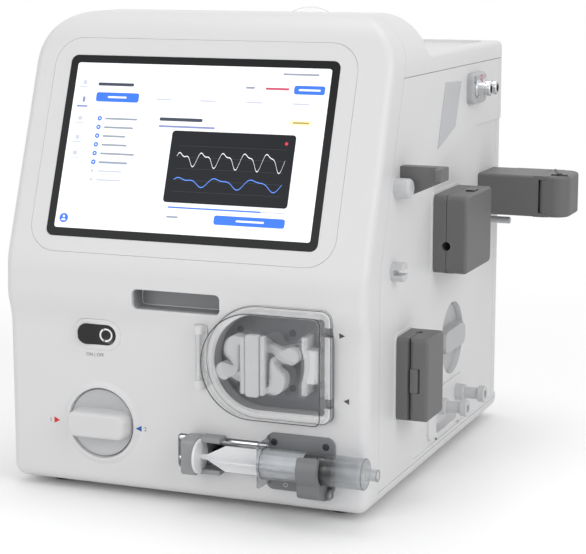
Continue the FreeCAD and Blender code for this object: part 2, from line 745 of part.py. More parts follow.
def make_display():
    """Bezel plate, cover glass and the display module they rest on."""
    level = -BEZEL_THICKNESS
    bezel = screen_slab(BEZEL_WIDTH, BEZEL_HEIGHT, BEZEL_UP, level, 0.0, BEZEL_RADIUS)
    window = screen_slab(GLASS_WIDTH + 2 * FIT_GAP, GLASS_HEIGHT + 2 * FIT_GAP,
                         GLASS_UP - FIT_GAP, -5.0, 5.0, GLASS_RADIUS + FIT_GAP)
    glass = screen_slab(GLASS_WIDTH, GLASS_HEIGHT, GLASS_UP, level, GLASS_PROUD, GLASS_RADIUS)
    edge = BEZEL_LEDGE + FIT_GAP
    module = screen_slab(BEZEL_WIDTH - 2 * edge, BEZEL_HEIGHT - 2 * edge, BEZEL_UP + edge,
                         level - DISPLAY_DEPTH, level, BEZEL_RADIUS - edge)
    export([bezel.cut(window)], "screen_bezel")
    export([glass], "display_glass")
    export([module], "display_module")


def make_switch():
    """Rocker in a pill-shaped rim; its right end is pressed in at rest."""
    rim = pill(SWITCH_X, SWITCH_Z, SWITCH_WIDTH + 2 * SWITCH_RIM, SWITCH_HEIGHT + 2 * SWITCH_RIM,
               0.0, SWITCH_DEPTH + CUP_WALL)
    lip = pill(SWITCH_X, SWITCH_Z, SWITCH_WIDTH + 4 * SWITCH_RIM, SWITCH_HEIGHT + 4 * SWITCH_RIM,
               -1.2, 0.0)
    lip = rounded(lip, 0.8, lambda middle, edge: middle.y < -1.19)
    hollow = pill(SWITCH_X, SWITCH_Z, SWITCH_WIDTH, SWITCH_HEIGHT, -5.0, SWITCH_DEPTH)
    pivot = V(SWITCH_X, ROCKER_PIVOT_Y, SWITCH_Z)
    reach = SWITCH_HEIGHT / 2 + SWITCH_RIM
    low = pivot + V(0, 0, -reach)
    high = pivot + V(0, 0, reach)
    bore = rod(ROCKER_PIN_RADIUS + PIN_GAP, low, high)
    rim = rim.fuse(lip).cut(hollow).cut(bore)
    half = SWITCH_WIDTH / 2 - FIT_GAP
    rise = half * math.tan(math.radians(ROCKER_TILT))
    profile = [
        (SWITCH_X - half, ROCKER_PIVOT_Y - 5.0 - rise, 0),
        (SWITCH_X, ROCKER_PIVOT_Y - 5.0, 30.0),
        (SWITCH_X + half, ROCKER_PIVOT_Y - 5.0 - rise, 0),
        (SWITCH_X + half, ROCKER_PIVOT_Y - 1.5, 0),
        (SWITCH_X, ROCKER_PIVOT_Y + 3.0, 8.0),
        (SWITCH_X - half, ROCKER_PIVOT_Y - 1.5, 0),
    ]
    rocker = prism(profile, "xy", SWITCH_Z - SWITCH_HEIGHT, SWITCH_Z + SWITCH_HEIGHT)
    for turn in (-ROCKER_TILT, 0.0, ROCKER_TILT):
        room = pill(SWITCH_X, SWITCH_Z, 2 * half, SWITCH_HEIGHT - 2 * FIT_GAP, -20.0, 20.0)
        room.rotate(pivot, V(0, 0, 1), turn)
        rocker = rocker.common(room)
    rocker = rocker.common(rod(half, pivot + V(0, 0, -20.0), pivot + V(0, 0, 20.0)))
    dish_centre = V(SWITCH_X + half / 2, ROCKER_PIVOT_Y - 5.0 - rise / 2, SWITCH_Z)
    dish = Part.makeSphere(ROCKER_DISH_BALL, dish_centre + V(0, -ROCKER_DISH_BALL + 1.0, 0))
    rocker = rocker.cut(dish)
    pin = rod(ROCKER_PIN_RADIUS, low + V(0, 0, 0.6), high - V(0, 0, 0.6))
    rocker = rocker.fuse(pin)
    rocker.rotate(pivot, V(0, 0, 1), ROCKER_TILT)
    export([rim.removeSplitter()], "switch_rim")
    export([rocker], "power_rocker")


def turning_grip(radius, dish, grip_length, grip_height, reach, bar_up):
    """Round plate with a bar grip and a shaft with a keeper, its face towards -Y."""
    disc = rod(radius - FIT_GAP, V(0, dish - FIT_GAP, 0), V(0, dish - 3.0, 0))
    disc = rounded(disc, 0.8, lambda middle, edge: abs(middle.y - dish + 3.0) < 0.01)
    half = grip_length / 2
    tall = grip_height / 2
    foot = outline(rectangle(-half, half, -tall, tall, tall - 3.0), "xz", dish - 1.5)
    head = outline(rectangle(-half + 1.5, half - 1.5, -tall + 1.5, tall - 1.5, tall - 4.5),
                   "xz", -reach)
    bar = tapered([foot, head])
    bar = rounded(bar, 1.6, lambda middle, edge: abs(middle.y + reach) < 0.01)
    if bar_up:
        bar.rotate(V(0, 0, 0), V(0, 1, 0), 90)
    shaft = rod(KNOB_SHAFT_RADIUS, V(0, dish - 1.0, 0), V(0, KNOB_SHAFT_LENGTH, 0))
    seat = dish + CUP_WALL + FIT_GAP
    keeper = rod(KNOB_SHAFT_RADIUS + 3.0, V(0, seat, 0), V(0, seat + 2.0, 0))
    return join([disc, bar, shaft, keeper])


def make_knobs():
    """Front knob with a lying bar, and the same kind of dial let into the right side."""
    knob = turning_grip(KNOB_RADIUS, KNOB_DISH, KNOB_GRIP_LENGTH, KNOB_GRIP_HEIGHT,
                        KNOB_GRIP_REACH, False)
    knob.translate(V(KNOB_X, 0, KNOB_Z))
    dial = turning_grip(DIAL_RADIUS, DIAL_DISH, 2 * DIAL_RADIUS - 4.0, DIAL_GRIP_HEIGHT,
                        DIAL_GRIP_REACH, False)
    dial.rotate(V(0, 0, 0), V(0, 0, 1), 90)
    dial.translate(V(RIGHT - RECESS_DEPTH, DIAL_Y, DIAL_Z))
    export([knob], "front_knob")
    export([dial], "side_dial")


def pump_screw_places():
    """Corners of the screw square on the floor of the pump base."""
    half = PUMP_SCREW_SPACING / 2
    return [(PUMP_X + a, PUMP_Z + b) for a in (-half, half) for b in (-half, half)]


def plate_screw_places():
    """The two screws along the top of the syringe plate."""
    return [(PLATE_LEFT + 8.5, PLATE_HIGH - 8.5), (PLATE_RIGHT - 8.5, PLATE_HIGH - 8.5)]


def make_pump_base():
    """Open tub with the raceway, tube ways in its right wall and a flange behind the shell."""
    axis = V(PUMP_X, 0, PUMP_Z)
    back = PUMP_WELL + PUMP_FLOOR
    tub = pump_form(BASE_RADIUS, COVER_RIGHT, COVER_CORNER, back, -PUMP_RISE)
    flange = pump_form(BASE_RADIUS + 5.0, COVER_RIGHT + 5.0, COVER_CORNER, WALL + 2.0, WALL)
    cup_right = GRIP_X + GRIP_WIDTH / 2 + CUP_WALL + FIT_GAP
    flange = flange.cut(box(0, cup_right, -1.0, 20.0, GRIP_LOW - CUP_WALL - FIT_GAP, GRIP_HIGH))
    well = pump_form(RACEWAY_RADIUS, LEG_RIGHT, 4.0, PUMP_WELL, -PUMP_RISE - 5.0)
    base = tub.fuse(flange).cut(well)
    base = base.cut(rod(ROTOR_SHAFT_RADIUS + PIN_GAP, axis, axis + V(0, 40.0, 0)))
    half = TUBE_CHANNEL / 2
    for rise in (-TUBE_CHANNEL_OFFSET, TUBE_CHANNEL_OFFSET):
        way = box(LEG_RIGHT - 2.0, COVER_RIGHT + 10.0, -PUMP_RISE - 5.0, -FIT_GAP,
                  PUMP_Z + rise - half, PUMP_Z + rise + half)
        base = base.cut(way)
    for x, z in pump_screw_places():
        base = base.cut(rod(SCREW_HEAD_RADIUS + 0.1, V(x, PUMP_WELL - 1.0, z),
                            V(x, PUMP_WELL + 2.0, z)))
        base = base.cut(rod(SCREW_SHANK_RADIUS + 0.1, V(x, PUMP_WELL, z), V(x, back + 1.0, z)))
    base = rounded(base, 1.2, lambda middle, edge:
                   abs(middle.y + PUMP_RISE) < 0.01 and middle.x < PUMP_X - BASE_RADIUS / 3
                   and math.hypot(middle.x - PUMP_X, middle.z - PUMP_Z) > BASE_RADIUS - 1.0)
    export([base], "pump_base")
    holder = box(SEGMENT_HOLDER_X, SEGMENT_HOLDER_X + 5.5, -PUMP_RISE, PUMP_WELL,
                 PUMP_Z - SEGMENT_HOLDER_HALF, PUMP_Z + SEGMENT_HOLDER_HALF)
    block = box(SEGMENT_HOLDER_X + 5.0, SEGMENT_HOLDER_X + 15.5, -PUMP_RISE, PUMP_WELL,
                PUMP_Z - 15.5, PUMP_Z + 15.5)
    holder = rounded(holder.fuse(block).removeSplitter(), 1.5, lambda middle, edge:
                     abs(middle.y - 1.25) < 0.3 and middle.x > SEGMENT_HOLDER_X + 8.0)
    sweep = rod(ROLLER_CIRCLE + ROTOR_END_RADIUS + 1.0, axis + V(0, -40.0, 0), axis + V(0, 40.0, 0))
    export([holder.cut(sweep)], "segment_holder")


def make_pump_cover():
    """Clear cover with a knuckle on its upright pin, and the hinge block it turns in."""
    back = -PUMP_RISE - FIT_GAP
    front = -COVER_DEPTH
    shell = pump_form(COVER_RADIUS, COVER_RIGHT, COVER_CORNER, back, front, -COVER_DRAFT)
    shell = rounded(shell, 3.0, lambda middle, edge: abs(middle.y - front) < 0.01)
    hollow = pump_form(COVER_RADIUS - COVER_WALL, COVER_RIGHT - COVER_WALL,
                       COVER_CORNER - COVER_WALL + 1.0, back + 0.01, front + COVER_WALL,
                       -COVER_DRAFT)
    cover = shell.cut(hollow)
    half = TUBE_CHANNEL / 2
    for rise in (-TUBE_CHANNEL_OFFSET, TUBE_CHANNEL_OFFSET):
        cover = cover.cut(box(COVER_RIGHT - 8.0, COVER_RIGHT + 5.0, back - 3.0, 0.0,
                              PUMP_Z + rise - half, PUMP_Z + rise + half))
    pin = V(COVER_HINGE_X, COVER_HINGE_Y, PUMP_Z)
    reach = HINGE_BLOCK_HALF - HINGE_EAR - FIT_GAP
    knuckle = rod(COVER_PIN_RADIUS + 2.0, pin - V(0, 0, reach), pin + V(0, 0, reach))
    left = PUMP_X - COVER_RADIUS
    web = prism([(COVER_HINGE_X, COVER_HINGE_Y - 3.6, 0), (left + 1.6, back - 5.0, 0),
                 (left + 1.6, back, 0), (COVER_HINGE_X + 1.0, back, 0),
                 (COVER_HINGE_X, COVER_HINGE_Y, 0)],
                "xy", PUMP_Z - 13.0, PUMP_Z + 13.0)
    bore = rod(COVER_PIN_RADIUS + PIN_GAP, pin - V(0, 0, 40.0), pin + V(0, 0, 40.0))
    cover = join([cover, knuckle, web]).cut(bore)
    export([cover], "pump_cover")
    low = PUMP_Z - HINGE_BLOCK_HALF
    high = PUMP_Z + HINGE_BLOCK_HALF
    plate = prism(rectangle(COVER_HINGE_X - HINGE_PLATE_HALF, COVER_HINGE_X + HINGE_PLATE_HALF,
                            low, high, 2.5),
                  "xz", 0.0, -2.4)
    ears = []
    for start in (low, high - HINGE_EAR):
        profile = [(COVER_HINGE_X - 4.4, 0.0, 0), (COVER_HINGE_X + 4.4, 0.0, 0),
                   (COVER_HINGE_X + 4.4, COVER_HINGE_Y - 4.4, 4.3),
                   (COVER_HINGE_X - 4.4, COVER_HINGE_Y - 4.4, 4.3)]
        ears.append(prism(profile, "xy", start, start + HINGE_EAR))
    pin_low = V(COVER_HINGE_X, COVER_HINGE_Y, low + 2.0)
    pin_high = V(COVER_HINGE_X, COVER_HINGE_Y, high - 2.0)
    socket = rod(COVER_PIN_RADIUS, pin_low, pin_high)
    export([join([plate] + ears).cut(socket)], "cover_hinge")
    export([rod(COVER_PIN_RADIUS, pin_low, pin_high)], "cover_pin")


def roller_centres():
    """Centres of the two roller pins on the front view."""
    turn = math.radians(ROLLER_ANGLE)
    across = ROLLER_CIRCLE * math.cos(turn)
    rise = ROLLER_CIRCLE * math.sin(turn)
    return [(PUMP_X - across, PUMP_Z - rise), (PUMP_X + across, PUMP_Z + rise)]


def rotor_arm(start, end, waist):
    """Two-ended arm through the rotor axis, with round ends about the roller pins."""
    arm = rod(ROTOR_HUB_RADIUS, V(PUMP_X, start, PUMP_Z), V(PUMP_X, end, PUMP_Z))
    bar = box(-ROLLER_CIRCLE, ROLLER_CIRCLE, 0, end - start, -waist, waist)
    bar.rotate(V(0, 0, 0), V(0, 1, 0), -ROLLER_ANGLE)
    bar.translate(V(PUMP_X, start, PUMP_Z))
    pieces = [arm, bar]
    for x, z in roller_centres():
        pieces.append(rod(ROTOR_END_RADIUS, V(x, start, z), V(x, end, z)))
    return join(pieces)


def make_rotor():
    """Rotor of two plates and a hub, two rollers on pins, tube guides and a grip bar."""
    back_start = PUMP_WELL - 0.6
    back_plate = rotor_arm(back_start - ROTOR_PLATE, back_start, 7.0)
    roller_back = back_start - ROTOR_PLATE - FIT_GAP
    roller_front = roller_back - ROLLER_LENGTH
    plate_back = roller_front - FIT_GAP
    plate_front = plate_back - ROTOR_FRONT_PLATE
    front_plate = rotor_arm(plate_front, plate_back, 7.6)
    front_plate = rounded(front_plate, 1.5, lambda middle, edge:
                          abs(middle.y - plate_front) < 0.01)
    hub = rod(ROTOR_HUB_RADIUS, V(PUMP_X, plate_front + 3.0, PUMP_Z),
              V(PUMP_X, back_start, PUMP_Z))
    pieces = [back_plate, front_plate, hub]
    for turn in (GUIDE_ANGLE, GUIDE_ANGLE + 180.0):
        angle = math.radians(turn)
        x = PUMP_X + GUIDE_CIRCLE * math.cos(angle)
        z = PUMP_Z + GUIDE_CIRCLE * math.sin(angle)
        guide = rod(GUIDE_RADIUS, V(x, plate_front + 1.5, z), V(x, back_start - ROTOR_PLATE, z))
        groove = tube(GUIDE_RADIUS + 2.0, GUIDE_RADIUS - 2.2,
                      V(x, roller_front + ROLLER_LENGTH / 2 - 4.0, z),
                      V(x, roller_front + ROLLER_LENGTH / 2 + 4.0, z))
        web = box(0, GUIDE_CIRCLE, 0, 4.0, -5.0, 5.0)
        web.rotate(V(0, 0, 0), V(0, 1, 0), -turn)
        web.translate(V(PUMP_X, plate_front + 1.5, PUMP_Z))
        pieces.extend([guide.cut(groove), web])
    rotor = join(pieces)
    axis = V(PUMP_X, 0, PUMP_Z)
    shaft_front = plate_front - 1.5
    shaft = rod(ROTOR_SHAFT_RADIUS, axis + V(0, shaft_front, 0), axis + V(0, 34.0, 0))
    rotor = rotor.cut(shaft)
    pins = []
    for index in range(2):
        x, z = roller_centres()[index]
        pin = rod(ROLLER_PIN_RADIUS, V(x, plate_front + 1.0, z), V(x, back_start, z))
        pins.append(pin)
        rotor = rotor.cut(rod(ROLLER_PIN_RADIUS, V(x, plate_front - 1.0, z),
                              V(x, back_start + 1.0, z)))
        roller = tube(ROLLER_RADIUS, ROLLER_PIN_RADIUS + PIN_GAP,
                      V(x, roller_front, z), V(x, roller_back, z))
        roller = bevelled(roller, 0.8, lambda middle, edge:
                          math.hypot(middle.x - x, middle.z - z) > ROLLER_RADIUS - 0.1
                          and edge.Length > 20.0 and edge.isClosed())
        export([roller], ("roller_left", "roller_right")[index])
    export([rotor], "pump_rotor")
    export([shaft], "rotor_shaft")
    export(pins, "roller_pins")
    bar = prism(rectangle(PUMP_X - GRIP_BAR_WIDTH / 2, PUMP_X + GRIP_BAR_WIDTH / 2,
                          PUMP_Z - GRIP_BAR_LENGTH / 2, PUMP_Z + GRIP_BAR_LENGTH / 2, 5.0),
                "xz", GRIP_BAR_FACE + GRIP_BAR_THICKNESS, GRIP_BAR_FACE)
    bar = rounded(bar, 1.5, lambda middle, edge: abs(middle.y - GRIP_BAR_FACE) < 0.01)
    neck = rod(10.0, axis + V(0, GRIP_BAR_FACE + GRIP_BAR_THICKNESS - 1.0, 0),
               axis + V(0, plate_front, 0))
    ribs = int(GRIP_BAR_LENGTH / GRIP_RIB_PITCH) - 1
    for index in range(ribs):
        z = PUMP_Z + (index - (ribs - 1) / 2) * GRIP_RIB_PITCH
        bar = bar.cut(box(PUMP_X - GRIP_BAR_WIDTH / 2 - 1, PUMP_X - GRIP_BAR_WIDTH / 2 + 1.2,
                          GRIP_BAR_FACE - 1, GRIP_BAR_FACE + GRIP_BAR_THICKNESS + 1,
                          z - 0.9, z + 0.9))
        bar = bar.cut(box(PUMP_X + GRIP_BAR_WIDTH / 2 - 1.2, PUMP_X + GRIP_BAR_WIDTH / 2 + 1,
                          GRIP_BAR_FACE - 1, GRIP_BAR_FACE + GRIP_BAR_THICKNESS + 1,
                          z - 0.9, z + 0.9))
    export([join([bar, neck]).cut(shaft)], "rotor_grip")
    motor = tube(PUMP_MOTOR_RADIUS, ROTOR_SHAFT_RADIUS + FIT_GAP,
                 axis + V(0, PUMP_WELL + PUMP_FLOOR, 0), axis + V(0, 38.0, 0))
    rear_half = rod(PUMP_MOTOR_RADIUS, axis + V(0, 38.0, 0), axis + V(0, 78.0, 0))
    screws = []
    motor = motor.fuse(rear_half).removeSplitter()
    for x, z in pump_screw_places():
        head = rod(SCREW_HEAD_RADIUS, V(x, PUMP_WELL, z), V(x, PUMP_WELL + 2.0, z))
        shank = rod(SCREW_SHANK_RADIUS, V(x, PUMP_WELL + 1.0, z),
                    V(x, PUMP_WELL + PUMP_FLOOR + 4.0, z))
        cross = slot_cross(x, z, PUMP_WELL)
        screws.append(head.fuse(shank).cut(cross).removeSplitter())
    for x, z in plate_screw_places():
        head = rod(SCREW_HEAD_RADIUS, V(x, -PLATE_THICKNESS, z), V(x, -PLATE_THICKNESS + 1.8, z))
        shank = rod(SCREW_SHANK_RADIUS, V(x, -PLATE_THICKNESS + 1.0, z), V(x, 8.0, z))
        cross = slot_cross(x, z, -PLATE_THICKNESS)
        screws.append(head.fuse(shank).cut(cross).removeSplitter())
    export([motor], "pump_motor")
    export(screws, "panel_screws")


def slot_cross(x, z, level):
    """Cross recess of a screw head whose face is at a level."""
    long_half = 2.0
    thin = 0.45
    return join([box(x - long_half, x + long_half, level - 1.0, level + 0.8, z - thin, z + thin),
                 box(x - thin, x + thin, level - 1.0, level + 0.8, z - long_half, z + long_half)])


def make_syringe():
    """Barrel with flange and tip, plunger with thumb disc, and its stopper."""
    axis = V(0, SYRINGE_Y, SYRINGE_Z)
    inner = BARREL_RADIUS - BARREL_WALL
    end = BARREL_START + BARREL_LENGTH
    profile = [
        (BARREL_START, inner, 0),
        (BARREL_START, BARREL_RADIUS, 0),
        (end - 2.5, BARREL_RADIUS, 2.0),
        (end, COLLAR_RADIUS, 0),
        (end + TIP_LENGTH - 3.0, COLLAR_RADIUS, 0),
        (end + TIP_LENGTH - 3.0, TIP_RADIUS, 0),
        (end + TIP_LENGTH, TIP_RADIUS, 0),
        (end + TIP_LENGTH, 1.0, 0),
        (end - 2.0, 1.0, 0),
        (end - 3.5, inner, 1.0),
    ]
    wire = outline(profile, "xy", 0)
    barrel = Part.Face(wire).revolve(V(0, 0, 0), V(1, 0, 0), 360)
    barrel.translate(axis)
    half = FLANGE_HEIGHT / 2
    flange = prism(rectangle(SYRINGE_Y - BARREL_RADIUS + 1.0, -PLATE_THICKNESS + FLANGE_SEAT,
                             SYRINGE_Z - half, SYRINGE_Z + half, 3.0),
                   "yz", BARREL_START, BARREL_START + FLANGE_THICKNESS)
    bore = rod(inner, axis, axis + V(BARREL_START + 20.0, 0, 0))
    export([barrel.fuse(flange.cut(bore)).removeSplitter()], "syringe_barrel")
    blade = inner - 1.2
    rib = RIB_THICKNESS / 2
    tail = THUMB_X + THUMB_THICKNESS - 0.5
    upright = box(tail, STOPPER_X, SYRINGE_Y - rib, SYRINGE_Y + rib,
                  SYRINGE_Z - blade, SYRINGE_Z + blade)
    lying = box(tail, STOPPER_X, SYRINGE_Y - blade, SYRINGE_Y + blade,
                SYRINGE_Z - rib, SYRINGE_Z + rib)
    disc = rod(THUMB_RADIUS, axis + V(THUMB_X, 0, 0), axis + V(THUMB_X + THUMB_THICKNESS, 0, 0))
    plate = rod(blade, axis + V(STOPPER_X - 2.0, 0, 0), axis + V(STOPPER_X, 0, 0))
    export([join([upright, lying, disc, plate])], "syringe_plunger")
    lip = inner - FIT_GAP
    stopper = rod(lip - 0.8, axis + V(STOPPER_X, 0, 0), axis + V(STOPPER_X + STOPPER_LENGTH, 0, 0))
    for start in (0.0, STOPPER_LENGTH - 3.0):
        stopper = stopper.fuse(rod(lip, axis + V(STOPPER_X + start, 0, 0),
                                   axis + V(STOPPER_X + start + 3.0, 0, 0)))
    nose = Part.makeCone(lip - 0.8, 2.0, 4.0, axis + V(STOPPER_X + STOPPER_LENGTH, 0, 0),
                         V(1, 0, 0))
    export([stopper.fuse(nose).removeSplitter()], "plunger_stopper")


def make_driver():
    """Carriage that grips the thumb disc, runs on two rods and is moved by a screw."""
    claw = SYRINGE_Z + THUMB_RADIUS + 1.2
    low = 2 * SYRINGE_Z - claw
    body = [(DRIVER_FRONT, low, 5.0), (-FIT_GAP - 0.3, low, 0), (-FIT_GAP - 0.3, claw, 0),
            (DRIVER_FRONT, claw, 5.0)]
    block = prism(body, "yz", DRIVER_LEFT, THUMB_X)
    for top in (True, False):
        z0 = SYRINGE_Z + 12.8 if top else low
        z1 = claw if top else SYRINGE_Z - 12.8
        arm = prism(rectangle(DRIVER_FRONT, -FIT_GAP - 0.3, z0, z1, 1.0), "yz",
                    THUMB_X, DRIVER_CLAW_RIGHT)
        block = block.fuse(arm)
    axis = V(0, SYRINGE_Y, SYRINGE_Z)
    block = block.cut(rod(THUMB_RADIUS + 0.1, axis + V(THUMB_X, 0, 0),
                          axis + V(THUMB_X + THUMB_THICKNESS + FIT_GAP, 0, 0)))
    slide = box(DRIVER_LEFT, THUMB_X, -1.0, SLOT_DEPTH - 1.0, SLOT_LOW + 1.0, SLOT_HIGH - 1.0)
    neck = box(DRIVER_LEFT + 1.0, THUMB_X - 1.0, SLOT_DEPTH - 2.0, LEAD_SCREW_Y,
               SYRINGE_Z - SLIT_HEIGHT / 2 + 0.8, SYRINGE_Z + SLIT_HEIGHT / 2 - 0.8)
    screw_start = V(-60.0, LEAD_SCREW_Y, SYRINGE_Z)
    screw_end = V(SLOT_RIGHT + 4.0, LEAD_SCREW_Y, SYRINGE_Z)
    nut = rod(LEAD_SCREW_RADIUS + 4.0, V(DRIVER_LEFT + 1.0, LEAD_SCREW_Y, SYRINGE_Z),
              V(THUMB_X - 1.0, LEAD_SCREW_Y, SYRINGE_Z))
    driver = join([block, slide, neck, nut])
    driver = driver.cut(rod(LEAD_SCREW_RADIUS + PIN_GAP, screw_start, screw_end))
    rods = []
    for rise in (-ROD_SPACING / 2, ROD_SPACING / 2):
        start = V(SLOT_LEFT - CUP_WALL, ROD_Y, SYRINGE_Z + rise)
        end = V(SLOT_RIGHT + CUP_WALL, ROD_Y, SYRINGE_Z + rise)
        rods.append(rod(ROD_RADIUS, start, end))
        driver = driver.cut(rod(ROD_RADIUS + PIN_GAP, start, end))
    driver = bevelled(driver, 4.0, lambda middle, edge:
                      abs(middle.x - DRIVER_LEFT) < 0.01 and middle.y < -5.0
                      and middle.z > SYRINGE_Z + 10.0 and abs(middle.z - claw) < 0.01)
    export([driver], "plunger_driver")
    export(rods, "guide_rods")
    motor_right = SLOT_LEFT - CUP_WALL
    screw_left = motor_right - 12.0
    screw = rod(LEAD_SCREW_RADIUS, V(screw_left, LEAD_SCREW_Y, SYRINGE_Z), screw_end)
    threads = []
    count = int((SLOT_RIGHT - motor_right) / THREAD_PITCH)
    for index in range(count):
        x = motor_right + 3.0 + index * THREAD_PITCH
        threads.append(tube(LEAD_SCREW_RADIUS + 1.0, LEAD_SCREW_RADIUS - 0.4,
                            V(x, LEAD_SCREW_Y, SYRINGE_Z), V(x + 0.8, LEAD_SCREW_Y, SYRINGE_Z)))
    screw = screw.cut(Part.makeCompound(threads))
    export([screw], "lead_screw")
    half = 17.5
    motor = box(motor_right - 40.0, motor_right, 12.0, LEAD_SCREW_Y + half,
                SYRINGE_Z - half, SYRINGE_Z + half)
    motor = motor.cut(rod(LEAD_SCREW_RADIUS + FIT_GAP, V(screw_left - 0.5, LEAD_SCREW_Y, SYRINGE_Z),
                          V(0, LEAD_SCREW_Y, SYRINGE_Z)))
    export([motor], "syringe_motor")


def make_syringe_plate():
    """Plate behind the barrel with the flange groove and the lugs of the clamp."""
    plate = prism(rectangle(PLATE_LEFT, PLATE_RIGHT, PLATE_LOW, PLATE_HIGH, 8.0), "xz",
                  0.0, -PLATE_THICKNESS)
    plate = rounded(plate, 0.8, lambda middle, edge: abs(middle.y + PLATE_THICKNESS) < 0.01)
    half = FLANGE_HEIGHT / 2
    groove = box(BARREL_START - 0.1, BARREL_START + FLANGE_THICKNESS + 0.1,
                 -PLATE_THICKNESS - 1.0, -PLATE_THICKNESS + FLANGE_SEAT,
                 SYRINGE_Z - half - 0.2, SYRINGE_Z + half + 0.2)
    plate = plate.cut(groove)
    lug_profile = [(0.0, CLAMP_PIN_Z - 4.6, 0), (0.0, CLAMP_PIN_Z + 4.6, 0),
                   (CLAMP_PIN_Y - 4.6, CLAMP_PIN_Z + 4.6, 4.5),
                   (CLAMP_PIN_Y - 4.6, CLAMP_PIN_Z - 4.6, 4.5)]
    right = CLAMP_LEFT + CLAMP_WIDTH
    for start in (CLAMP_LEFT - FIT_GAP - CLAMP_LUG, right + FIT_GAP):
        plate = plate.fuse(prism(lug_profile, "yz", start, start + CLAMP_LUG))
    pin_start = V(CLAMP_LEFT - FIT_GAP - CLAMP_LUG, CLAMP_PIN_Y, CLAMP_PIN_Z)
    pin_end = V(right + FIT_GAP + CLAMP_LUG, CLAMP_PIN_Y, CLAMP_PIN_Z)
    pin = rod(CLAMP_PIN_RADIUS, pin_start, pin_end)
    plate = plate.cut(pin)
    for x, z in plate_screw_places():
        plate = plate.cut(rod(SCREW_HEAD_RADIUS + 0.1, V(x, -10.0, z),
                              V(x, -PLATE_THICKNESS + 1.8, z)))
        plate = plate.cut(rod(SCREW_SHANK_RADIUS + 0.1, V(x, -5.0, z), V(x, 5.0, z)))
    export([plate.removeSplitter()], "syringe_plate")
    export([pin], "clamp_pin")
    outer = BARREL_RADIUS + FIT_GAP + CLAMP_WALL
    centre = (SYRINGE_Y, SYRINGE_Z)
    ring = rod(outer, V(CLAMP_LEFT, *centre), V(right, *centre))
    wedge = prism([(SYRINGE_Y, SYRINGE_Z, 0), (SYRINGE_Y - 50.0, SYRINGE_Z + 46.0, 0),
                   (SYRINGE_Y - 50.0, 5.0, 0), (-4.4, 5.0, 0), (-4.4, CLAMP_PIN_Z, 0)],
                  "yz", CLAMP_LEFT, right)
    hook = ring.common(wedge)
    knuckle = rod(4.6, V(CLAMP_LEFT, CLAMP_PIN_Y, CLAMP_PIN_Z), V(right, CLAMP_PIN_Y, CLAMP_PIN_Z))
    chin = prism([(CLAMP_FRONT + 4.0, SYRINGE_Z - 6.0, 0), (CLAMP_FRONT + 4.0, 30.0, 6.0),
                  (CLAMP_PIN_Y - 4.0, CLAMP_PIN_Z - 4.6, 5.0), (CLAMP_PIN_Y, CLAMP_PIN_Z - 4.6, 0),
                  (CLAMP_PIN_Y, CLAMP_PIN_Z + 6.0, 0), (SYRINGE_Y, SYRINGE_Z - 6.0, 0)],
                 "yz", CLAMP_LEFT, right)
    clamp = join([hook, knuckle, chin])
    clamp = clamp.cut(rod(BARREL_RADIUS + FIT_GAP, V(CLAMP_LEFT - 1, *centre), V(right + 1, *centre)))
    clamp = clamp.cut(rod(CLAMP_PIN_RADIUS + PIN_GAP, pin_start, pin_end))
    export([clamp], "syringe_clamp")


def yz_box(y0, y1, z0, z1, x0, x1, radius, face_radius=0.0, face_x=None):
    """Block on the right side with rounded corners and softened edges on one face."""
    block = prism(rectangle(y0, y1, z0, z1, radius), "yz", x0, x1)
    if face_radius:
        block = rounded(block, face_radius, lambda middle, edge: abs(middle.x - face_x) < 0.01)
    return block


